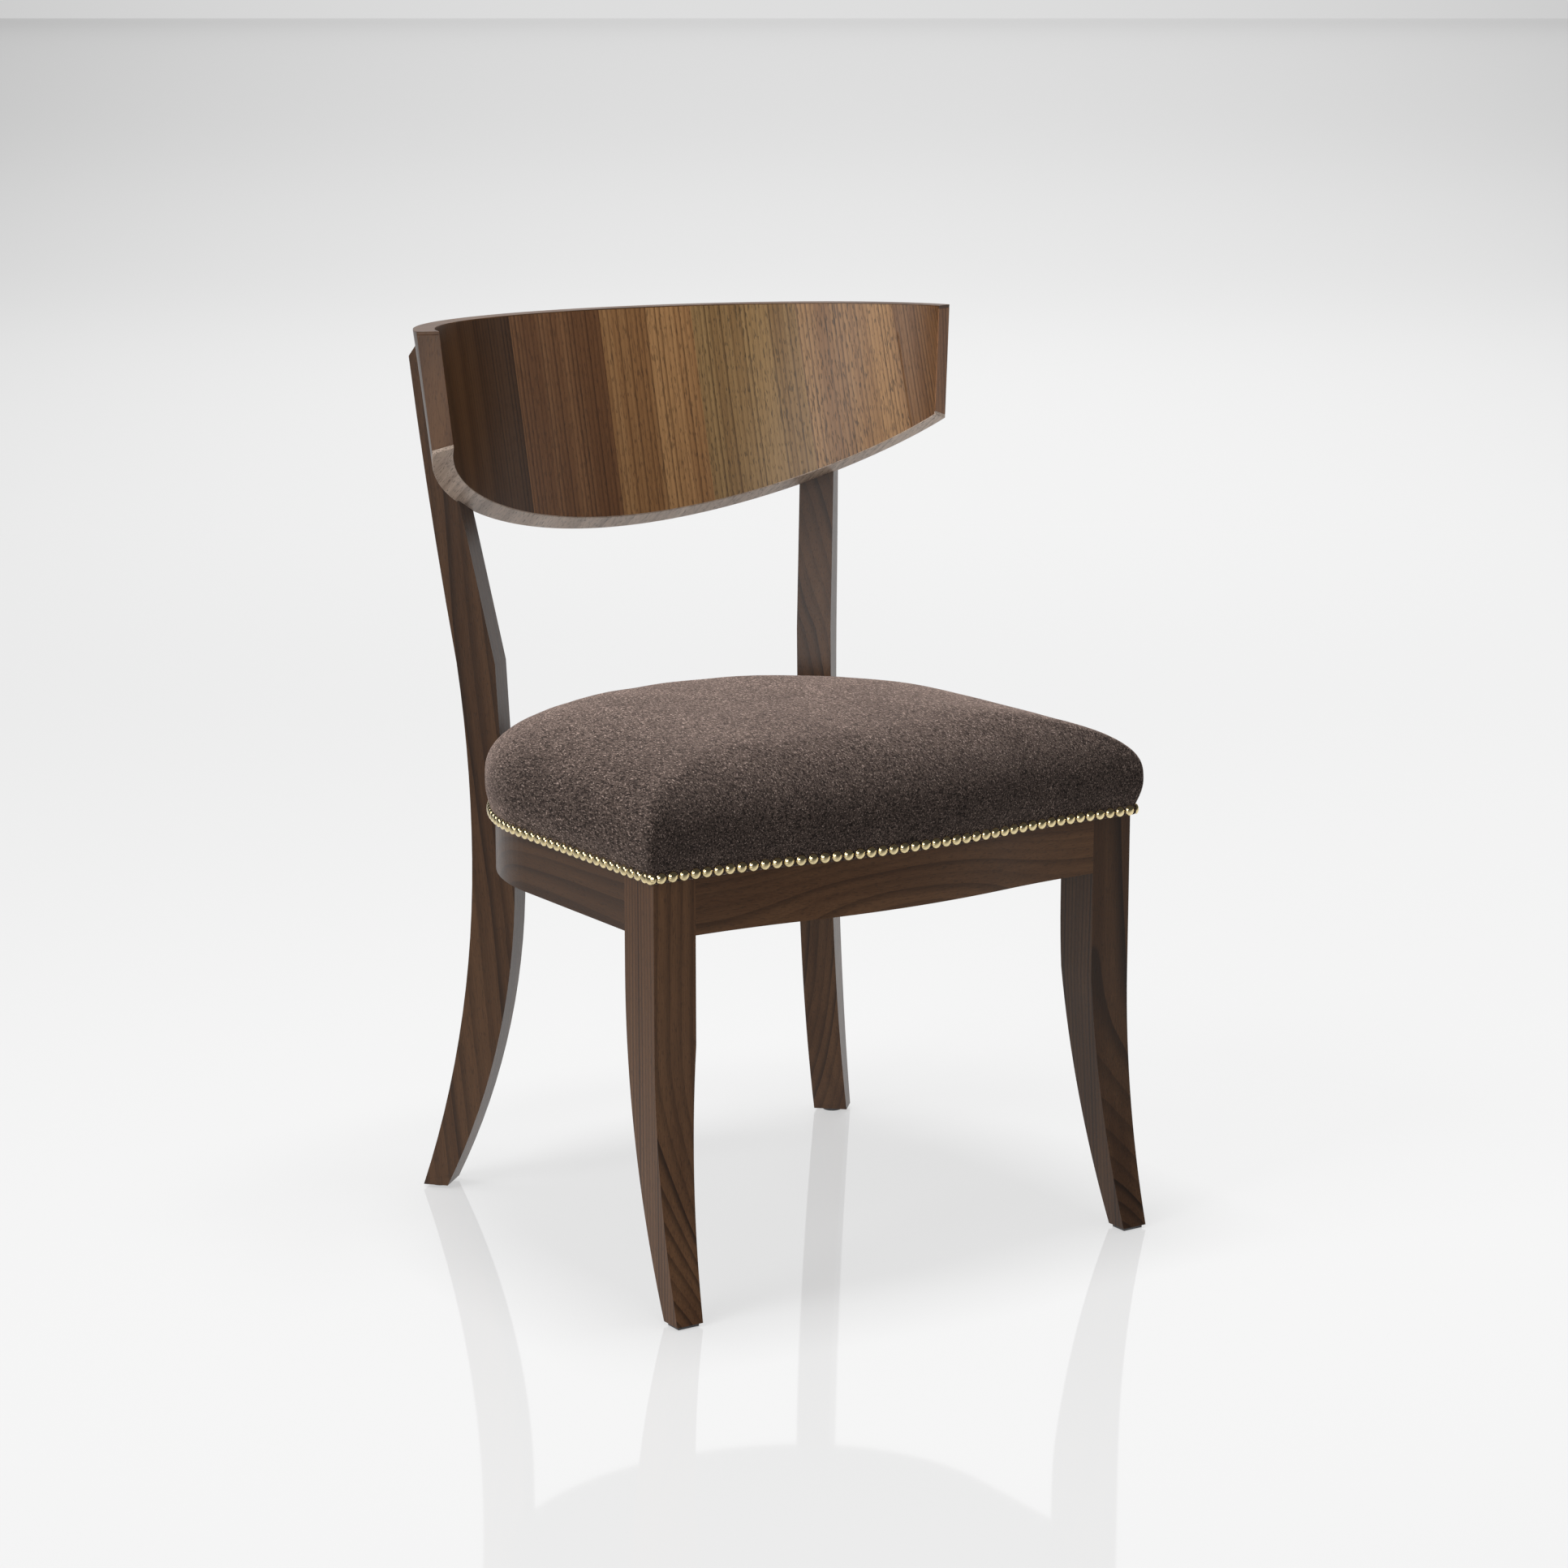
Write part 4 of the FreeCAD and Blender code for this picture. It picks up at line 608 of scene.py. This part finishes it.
def outline_parts(proud, corner):
    """Right half of the outline from the middle of the front: functions of a share from 0 to 1."""
    lean = math.asin(LEG_INNER / 2 / BOW_BEND)
    front = FRONT - proud

    def nose(share):
        angle = lean * share
        radius = BOW_BEND + proud
        return Vector((radius * math.sin(angle), FRONT - BOW + BOW_BEND - radius * math.cos(angle)))

    def hollow(share):
        angle = lean * (1 - share)
        radius = BOW_BEND - proud
        return Vector((LEG_INNER - radius * math.sin(angle), FRONT - BOW_BEND + radius * math.cos(angle)))

    def flat(share):
        return Vector((LEG_INNER + (HALF + proud - corner - LEG_INNER) * share, front))

    def round_corner(share):
        angle = math.pi / 2 * share
        return Vector((HALF + proud - corner + corner * math.sin(angle),
                       front + corner - corner * math.cos(angle)))

    def side(share):
        return Vector((HALF + proud, front + corner + (TURN_Y - front - corner) * share))

    def bend(share):
        angle = JOINT * share
        return Vector((BEND_X + (BEND + proud) * math.cos(angle), TURN_Y + (BEND + proud) * math.sin(angle)))

    def rear(share):
        angle = JOINT + (math.pi / 2 - JOINT) * share
        radius = REAR_BEND + proud
        return Vector((radius * math.cos(angle), REAR_MIDDLE + radius * math.sin(angle)))

    return [nose, hollow, flat, round_corner, side, bend, rear]


PART_STEPS = (16, 16, 8, 6, 34, 34, 22)


def outline_ring(proud, corner):
    """Closed list of plan points, anticlockwise from the middle of the front."""
    right = []
    parts = outline_parts(proud, corner)
    for function, steps in zip(parts, PART_STEPS):
        right += [function(step / steps) for step in range(steps)]
    right.append(parts[-1](1))
    return right + [Vector((-point.x, point.y)) for point in right[-2:0:-1]]


# Padded seat

HEM_LOW, HEM_TOP, BOX_HIGH, CROWN_RISE, CROWN_Y = 388.0, 398.0, 422.0, 62.3, -13.0
PROUD, SWELL, CORNER, WIDEST_CORNER = 5.0, 5.2, 5.0, 45.0
BOX_LEVELS, DOME_LEVELS = 8, 44
FRAME_TOP, PLATFORM = 415.1, 419.3


def seat_levels(shrink):
    """Swell, corner radius, scale and height of each level from the top of the hem to the crown."""
    levels = []
    for step in range(BOX_LEVELS + 1):
        share = step / BOX_LEVELS
        levels.append((PROUD + SWELL * math.sin(math.pi / 2 * share) - shrink, CORNER, 1,
                       HEM_TOP + (BOX_HIGH - HEM_TOP) * share))
    for step in range(1, DOME_LEVELS):
        share = step / DOME_LEVELS
        scale = math.cos(math.pi / 2 * share ** 1.25)
        dome = (1 - scale ** 3.43) ** (1 / 2.69)
        corner = min(WIDEST_CORNER, CORNER * (1 + 12 * (1 - scale)))
        levels.append((PROUD + SWELL - shrink, corner, scale, BOX_HIGH + (CROWN_RISE - shrink) * dome))
    return levels


def seat_shell(shrink):
    """Rows of points of the padded form above the hem."""
    return [[Vector((point.x * scale, CROWN_Y + (point.y - CROWN_Y) * scale, high))
             for point in outline_ring(swell, corner)]
            for swell, corner, scale, high in seat_levels(shrink)]


def rows_to_mesh(name, rows, lower_cap, crown):
    """Closed mesh from stacked rings, with a fan at the crown and one under the lowest ring."""
    shape = bmesh.new()
    rings = [[shape.verts.new(point * MM) for point in row] for row in rows]
    count = len(rings[0])
    for low, high in zip(rings, rings[1:]):
        for index in range(count):
            after = (index + 1) % count
            shape.faces.new((low[index], low[after], high[after], high[index]))
    top = shape.verts.new(crown * MM)
    bottom = shape.verts.new(lower_cap * MM)
    for index in range(count):
        after = (index + 1) % count
        shape.faces.new((rings[-1][index], rings[-1][after], top))
        shape.faces.new((rings[0][after], rings[0][index], bottom))
    for face in shape.faces:
        face.smooth = True
    return mesh_from(name, shape)


CLOTH_FRAMES = 20


def blown_swell():
    """Blows up a slightly smaller pad as cloth and gives how far it swelled at each of its points."""
    shrink = 3.0
    crown = Vector((0, CROWN_Y, BOX_HIGH + CROWN_RISE - shrink))
    mesh = rows_to_mesh("pad_blank", seat_shell(shrink), Vector((0, CROWN_Y, HEM_TOP)), crown)
    pad = add_piece("pad_blank", mesh)
    remesh = pad.modifiers.new("even mesh", "REMESH")
    remesh.mode = "VOXEL"
    remesh.voxel_size = 0.0055
    graph = bpy.context.evaluated_depsgraph_get()
    even = bpy.data.meshes.new_from_object(pad.evaluated_get(graph))
    bpy.data.objects.remove(pad)
    pad = add_piece("pad_cloth", even)
    held = pad.vertex_groups.new(name="nailed edge")
    nailed = [vertex.index for vertex in even.vertices if vertex.co.z < (HEM_TOP + 4) * MM]
    held.add(nailed, 1.0, "REPLACE")
    start = [(vertex.co.copy(), vertex.normal.copy()) for vertex in even.vertices]
    cloth = pad.modifiers.new("cloth", "CLOTH")
    settings = cloth.settings
    settings.quality = 6
    settings.mass = 0.3
    settings.tension_stiffness = 15
    settings.compression_stiffness = 15
    settings.shear_stiffness = 8
    settings.bending_stiffness = 2
    settings.use_pressure = True
    settings.uniform_pressure_force = 4
    settings.effector_weights.gravity = 0
    settings.vertex_group_mass = "nailed edge"
    cloth.collision_settings.use_collision = False
    scene.frame_start, scene.frame_end = 1, CLOTH_FRAMES
    for number in range(1, CLOTH_FRAMES + 1):
        scene.frame_set(number)
    graph = bpy.context.evaluated_depsgraph_get()
    settled = pad.evaluated_get(graph).to_mesh()
    swell = [(vertex.co - place).dot(normal) for vertex, (place, normal) in zip(settled.vertices, start)]
    bpy.data.objects.remove(pad)
    scene.frame_set(1)
    tree = kdtree.KDTree(len(start))
    for index, (place, normal) in enumerate(start):
        tree.insert(place, index)
    tree.balance()
    return tree, swell


NEIGHBOURS = 24
SWELL_SHARE, MOST_IN, MOST_OUT = 0.16, -0.001, 0.003
EASE_HIGH = 22
RIPPLE = 0.0007


def soften(mesh):
    """Moves the cover as the blown pad moved, from no change at the hem, and adds soft unevenness."""
    tree, swell = blown_swell()
    usual = sorted(swell)[len(swell) // 2]
    moves = []
    for vertex in mesh.vertices:
        ease = min(1.0, max(0.0, (vertex.co.z / MM - HEM_TOP - 1) / EASE_HIGH))
        out = 0.0
        if tree:
            total = weight = 0.0
            for found, number, distance in tree.find_n(vertex.co, NEIGHBOURS):
                share = 1 / (distance + 0.01)
                total += swell[number] * share
                weight += share
            out = min(MOST_OUT, max(MOST_IN, (total / weight - usual) * SWELL_SHARE))
        ripple = noise.noise(vertex.co * 9.0) + 0.5 * noise.noise(vertex.co * 23.0)
        moves.append(vertex.normal * (out + ripple * RIPPLE) * ease)
    for vertex, move in zip(mesh.vertices, moves):
        vertex.co += move


def level_ring(proud, corner, high):
    return [Vector((point.x, point.y, high)) for point in outline_ring(proud, corner)]


def seat_piece():
    """Wool cover with its folded hem, closed underneath round the frame and notched for the rear legs."""
    inside = [level_ring(*level) for level in (
        (-8, 0.2, PLATFORM), (-8, 0.2, FRAME_TOP), (0.05, 0.2, FRAME_TOP))]
    hem = [level_ring(*level) for level in (
        (0.05, 0.2, HEM_LOW), (4.4, CORNER, HEM_LOW), (PROUD - 0.1, CORNER, HEM_LOW + 0.8),
        (PROUD - 0.1, CORNER, HEM_TOP - 1.5))]
    crown = Vector((0, CROWN_Y, BOX_HIGH + CROWN_RISE))
    mesh = rows_to_mesh("seat_wool", inside + hem + seat_shell(0), Vector((0, CROWN_Y, PLATFORM)), crown)
    soften(mesh)
    piece = add_piece("seat_wool", mesh, WOOL_CLOTH)
    cutters = [add_piece(f"{node}_cutter", mesh_from(f"{node}_cutter", merged_shape(node)))
               for node in ("rear_leg_left", "rear_leg_right")]
    for cutter in cutters:
        cut = piece.modifiers.new("leg notch", "BOOLEAN")
        cut.object = cutter
        cut.operation = "DIFFERENCE"
        cut.solver = "EXACT"
    graph = bpy.context.evaluated_depsgraph_get()
    notched = bpy.data.meshes.new_from_object(piece.evaluated_get(graph))
    piece.modifiers.clear()
    piece.data = notched
    notched.materials.clear()
    notched.materials.append(WOOL_CLOTH)
    for polygon in notched.polygons:
        polygon.material_index = 0
    for cutter in cutters:
        bpy.data.objects.remove(cutter)
    finish_piece(piece, "seat_cover")


WOOL_CLOTH = wool_material()
seat_piece()


# Brass nails, set out along the hem

NAIL_HIGH, NAIL_WIDE, NAIL_DOME, NAIL_PITCH = 392.5, 9.9, 2.8, 11.43
NAIL_EDGE, NAIL_START, CORNER_NAIL = 251.2, 10.4, 35.0
LEG_THICK, LEG_CLEAR, LEG_TURN = 33.75, 8, math.radians(53.9)


def side_turn(index, share):
    """Point and outward direction on one part of the outline."""
    function = outline_parts(PROUD, 0)[index]
    point = function(share)
    along = function(min(share + 0.001, 1)) - function(max(share - 0.001, 0))
    return point, Vector((along.y, -along.x)).normalized()


def front_nail_sites():
    count = round(2 * NAIL_EDGE / NAIL_PITCH) + 1
    parts = outline_parts(PROUD, 0)
    sites = []
    for number in range(count):
        x = -NAIL_EDGE + 2 * NAIL_EDGE * number / (count - 1)
        index = 0 if abs(x) < parts[0](1).x else 1 if abs(x) < LEG_INNER else 2
        share = last_true(0.0, 1.0, lambda middle: parts[index](middle).x < abs(x))
        point, outward = side_turn(index, share)
        sign = math.copysign(1, x)
        sites.append((Vector((point.x * sign, point.y)), Vector((outward.x * sign, outward.y))))
    return sites


def side_nail_sites():
    """Nails of the right side and of the right half of the rear, clear of the rear leg."""
    angle = math.radians(CORNER_NAIL)
    outward = Vector((math.cos(angle), -math.sin(angle)))
    side, rear = [(Vector((HALF, FRONT)) + outward * CORNER, outward)], []
    spans = []
    gone = 0.0
    for index in (4, 5, 6):
        function = outline_parts(PROUD, 0)[index]
        points = [function(step / 200) for step in range(201)]
        length = sum((b - a).length for a, b in zip(points, points[1:]))
        spans.append((index, gone, gone + length))
        gone += length
    leg = Vector((BEND_X + BEND * math.cos(LEG_TURN), TURN_Y + BEND * math.sin(LEG_TURN)))
    across = Vector((-math.sin(math.radians(BOARD_TURN)), math.cos(math.radians(BOARD_TURN))))
    distance = NAIL_START
    while distance <= gone - NAIL_PITCH / 4:
        for index, start, finish in spans:
            if start <= distance < finish:
                point, outward = side_turn(index, (distance - start) / (finish - start))
        distance += NAIL_PITCH
        if abs((point - leg).dot(across)) < LEG_THICK / 2 + LEG_CLEAR and point.y > TURN_Y:
            continue
        (rear if point.y > leg.y else side).append((point, outward))
    return side, rear


def flipped(sites):
    return [(Vector((-point.x, point.y)), Vector((-outward.x, outward.y))) for point, outward in sites]


def nail_tree(material):
    """Puts a domed head on every site; the head's width and rise are inputs."""
    tree = bpy.data.node_groups.new("nail heads", "GeometryNodeTree")
    face = tree.interface
    face.new_socket("Sites", in_out="INPUT", socket_type="NodeSocketGeometry")
    inputs = {"Width": NAIL_WIDE * MM, "Rise": NAIL_DOME * MM}
    for label, value in inputs.items():
        face.new_socket(label, in_out="INPUT", socket_type="NodeSocketFloat").default_value = value
    face.new_socket("Geometry", in_out="OUTPUT", socket_type="NodeSocketGeometry")
    graph = Graph(tree)
    given = graph.add("NodeGroupInput").outputs
    ball = graph.add("GeometryNodeMeshUVSphere", {"Segments": 16, "Rings": 10, "Radius": 1.0})
    place = graph.add("GeometryNodeInputPosition").outputs[0]
    under = graph.add("FunctionNodeCompare", {"A": graph.split(place)["Z"], "B": -0.001},
                      operation="LESS_THAN").outputs[0]
    dome = graph.add("GeometryNodeDeleteGeometry", {"Geometry": ball.outputs["Mesh"], "Selection": under})
    radius = graph.math("DIVIDE", given["Width"], 2.0)
    size = graph.add("ShaderNodeCombineXYZ", {"X": radius, "Y": radius, "Z": given["Rise"]}).outputs[0]
    sized = graph.add("GeometryNodeTransform", {"Geometry": dome.outputs[0], "Scale": size}).outputs[0]
    smooth = graph.add("GeometryNodeSetShadeSmooth", {"Geometry": sized}).outputs[0]
    outward = graph.add("GeometryNodeInputNamedAttribute", {"Name": "outward"},
                        data_type="FLOAT_VECTOR").outputs["Attribute"]
    aim = graph.add("FunctionNodeAlignRotationToVector", {"Vector": outward}, axis="Z").outputs[0]
    heads = graph.add("GeometryNodeInstanceOnPoints", {"Points": given["Sites"], "Instance": smooth,
                                                       "Rotation": aim}).outputs[0]
    real = graph.add("GeometryNodeRealizeInstances", {"Geometry": heads}).outputs[0]
    done = graph.add("GeometryNodeSetMaterial", {"Geometry": real, "Material": material}).outputs[0]
    graph.feed(graph.add("NodeGroupOutput").inputs[0], done)
    return tree


NAIL_LIFT = 0.00005


def nail_row(node, sites, tree):
    """One row of nail heads, a hair above the hem."""
    mesh = bpy.data.meshes.new(f"{node}_sites")
    places = [(point.x * MM + outward.x * NAIL_LIFT, point.y * MM + outward.y * NAIL_LIFT, NAIL_HIGH * MM)
              for point, outward in sites]
    mesh.from_pydata(places, [], [])
    directions = mesh.attributes.new("outward", "FLOAT_VECTOR", "POINT")
    for index, (point, outward) in enumerate(sites):
        directions.data[index].vector = (outward.x, outward.y, 0)
    piece = bpy.data.objects.new(f"{node}_brass", mesh)
    scene.collection.objects.link(piece)
    modifier = piece.modifiers.new("heads", "NODES")
    modifier.node_group = tree
    for item in tree.interface.items_tree:
        if item.in_out == "INPUT" and item.socket_type == "NodeSocketFloat":
            modifier[item.identifier] = item.default_value
    graph = bpy.context.evaluated_depsgraph_get()
    heads = bpy.data.meshes.new_from_object(piece.evaluated_get(graph))
    piece.modifiers.clear()
    piece.data = heads
    finish_piece(piece, node)


BRASS = metal("brass", (0.76, 0.63, 0.36, 1), 0.12)
HEADS = nail_tree(BRASS)
right_side, right_rear = side_nail_sites()
nail_row("nails_front", front_nail_sites(), HEADS)
nail_row("nails_right", right_side, HEADS)
nail_row("nails_left", flipped(right_side), HEADS)
nail_row("nails_rear", right_rear + flipped(right_rear), HEADS)


# Glides, and the inner pieces that keep the solids' own shape

PLASTIC = grainy("glide_plastic", (0.030, 0.030, 0.032, 1), (0.055, 0.055, 0.058, 1), 0.5, 900.0)
for side in ("front_left", "front_right", "rear_left", "rear_right"):
    dress(f"glide_{side}", PLASTIC, 0.0004)

STEEL = metal("zinc_plate", (0.62, 0.62, 0.63, 1), 0.35)
PLAIN = {
    "rail_dowels": wood("beech_dowels", GRAIN_Y, **BEECH),
    "corner_block_front_left": wood("beech_front_left", (90, 0, 45), **BEECH),
    "corner_block_front_right": wood("beech_front_right", (90, 0, -45), **BEECH),
    "corner_block_rear_left": wood("beech_rear_left", (90, 0, -45), **BEECH),
    "corner_block_rear_right": wood("beech_rear_right", (90, 0, 45), **BEECH),
    "back_core": wood("bent_plywood", GRAIN_X, **PLY),
    "corner_block_screws": STEEL,
    "rear_leg_bolts": STEEL,
    "rear_leg_washers": STEEL,
    "back_screws": STEEL,
    "dust_cloth_staples": STEEL,
    "glide_nails": STEEL,
    "webbing_side_to_side": woven("jute_webbing", 0.0022, (0.30, 0.20, 0.11, 1), (0.10, 0.06, 0.03, 1)),
    "webbing_front_to_back": woven("jute_webbing_long", 0.0022, (0.28, 0.19, 0.10, 1), (0.10, 0.06, 0.03, 1)),
    "hessian": woven("hessian_cloth", 0.0014, (0.42, 0.30, 0.17, 1), (0.16, 0.10, 0.05, 1)),
    "dust_cloth": woven("dust_cloth_black", 0.0006, (0.022, 0.022, 0.023, 1), (0.008, 0.008, 0.008, 1)),
    "seat_foam": grainy("cream_foam", (0.70, 0.62, 0.42, 1), (0.58, 0.50, 0.33, 1), 0.9, 700.0, 0.6),
}
for node, material in PLAIN.items():
    nodes[node].data.materials.clear()
    nodes[node].data.materials.append(material)


# Floor, world and lamps

VIEW_TURN = math.radians(CAMERA_TURN)
STAND = (-CAMERA_PLACE[0], -CAMERA_PLACE[1], 0)
FLOOR_GLOW = [(0.0, 0.0), (0.02, 0.03), (0.11, 0.26), (0.23, 0.48), (0.35, 0.50), (0.5, 0.52), (1, 0.55)]


def add_floor():
    """Very wide pale floor that glows: its emission paints the light on it, fading with distance from where
    the chair is looked at.
    """
    shape = bmesh.new()
    bmesh.ops.create_circle(shape, cap_ends=True, segments=96, radius=FLOOR_RADIUS)
    material, graph, shader = start_material(
        "studio_floor", 0.04, Base_Color=(0.28, 0.28, 0.28, 1), IOR=1.4, Emission_Strength=1.0)
    place = graph.add("ShaderNodeVectorRotate",
                      {"Vector": graph.vector("ADD", graph.object_place(), STAND), "Angle": VIEW_TURN},
                      rotation_type="Z_AXIS").outputs[0]
    axes = graph.split(place)
    away = graph.math("MAXIMUM", axes["Y"], 0.5)
    near = graph.math("DIVIDE", 1.0, away)
    off_line = graph.math("DIVIDE", axes["X"], away)
    aside = graph.math("MINIMUM", graph.math("MAXIMUM", off_line, -0.25), 0.25)
    # Painted light: the camera sees the floor glow brightest near the chair, fading with distance, darker
    # towards the far corners and a little lighter towards the right.
    tone = graph.add("ShaderNodeFloatCurve", {"Value": graph.product(near, 2.0)})
    shape_curve(tone, FLOOR_GLOW)
    corner = graph.product(graph.math("POWER", aside, 2.0), graph.remap(near, 0.2, 0.0, 0.0, 3.0))
    seen = graph.math("SUBTRACT", tone.outputs[0], corner)
    seen = graph.math("ADD", seen, graph.product(aside, 0.12))
    astray = graph.remap(graph.math("ABSOLUTE", off_line), 0.3, 0.7)
    seen = graph.math("ADD", graph.product(seen, graph.math("SUBTRACT", 1.0, astray)),
                      graph.product(astray, 0.6))
    # The floor also glows in mirror images and as soft light on the chair, painted light from the floor.
    mirrored = graph.product(graph.remap(axes["Y"], 2.3, 3.4, 0.08, 0.75),
                             graph.remap(off_line, -0.4, -0.1, 0.4, 1.0))
    soft = graph.remap(axes["Y"], 1.5, 3.0, 0.05, 0.50)
    graph.feed(shader.inputs["Emission Color"], graph.grey(by_ray(graph, seen, mirrored, soft)))
    add_piece("studio_floor", mesh_from("studio_floor", shape), material)


def by_ray(graph, seen, mirrored, soft):
    """One value for what the camera sees, one for mirror images and one for soft light."""
    rays = graph.add("ShaderNodeLightPath").outputs
    total = graph.math("ADD", graph.product(rays["Is Camera Ray"], seen),
                       graph.product(rays["Is Glossy Ray"], mirrored))
    return graph.math("ADD", total, graph.product(rays["Is Diffuse Ray"], soft))


def shape_curve(node, points):
    curve = node.mapping.curves[0]
    for index, (x, y) in enumerate(points):
        if index < 2:
            curve.points[index].location = (x, y)
        else:
            curve.points.new(x, y)
    node.mapping.update()


def add_world():
    """Pale backdrop behind the chair; the rest of the studio is dim."""
    world = bpy.data.worlds.new("studio")
    scene.world = world
    world.use_nodes = True
    graph = Graph(world.node_tree)
    background = world.node_tree.nodes["Background"]
    background.inputs["Color"].default_value = (1, 1, 1, 1)
    direction = graph.object_place()
    behind = graph.vector("DOT_PRODUCT", direction, (math.sin(VIEW_TURN), math.cos(VIEW_TURN), 0))
    beside = graph.vector("DOT_PRODUCT", direction, (math.cos(VIEW_TURN), -math.sin(VIEW_TURN), 0))
    dimming = graph.product(graph.math("POWER", beside, 2.0), 2.8)
    seen = graph.math("MAXIMUM", graph.math("SUBTRACT", 0.73, dimming), 0.55)
    mirrored = graph.remap(behind, 0.66, 0.97, 0.07, 0.74)
    graph.feed(background.inputs["Strength"], by_ray(graph, seen, mirrored, 0.36))


def add_lamp(name, place, aim, wide, tall, power):
    """Softbox turned towards a point."""
    data = bpy.data.lights.new(name, "AREA")
    data.shape = "RECTANGLE"
    data.size, data.size_y, data.energy = wide, tall, power
    lamp = bpy.data.objects.new(name, data)
    lamp.location = place
    lamp.rotation_euler = (Vector(aim) - Vector(place)).to_track_quat("-Z", "Y").to_euler()
    scene.collection.objects.link(lamp)
    return lamp


add_floor()
add_world()
add_lamp("overhead_softbox", (0.0, 0.1, 3.0), (0, 0, 0), 0.9, 0.9, 55)
add_lamp("left_window", (-2.6, -0.2, 2.0), (0, 0, 0.5), 1.4, 1.6, 40)
add_lamp("front_left_softbox", (-3.4, -2.5, 1.1), (0, 0, 0.6), 1.3, 1.3, 30)
gleam = add_lamp("panel_gleam_softbox", (-2.3, -3.5, 1.25), (0, 0, 0.7), 2.4, 1.4, 55)
gleam.visible_diffuse = False
scene.view_settings.view_transform = "Standard"
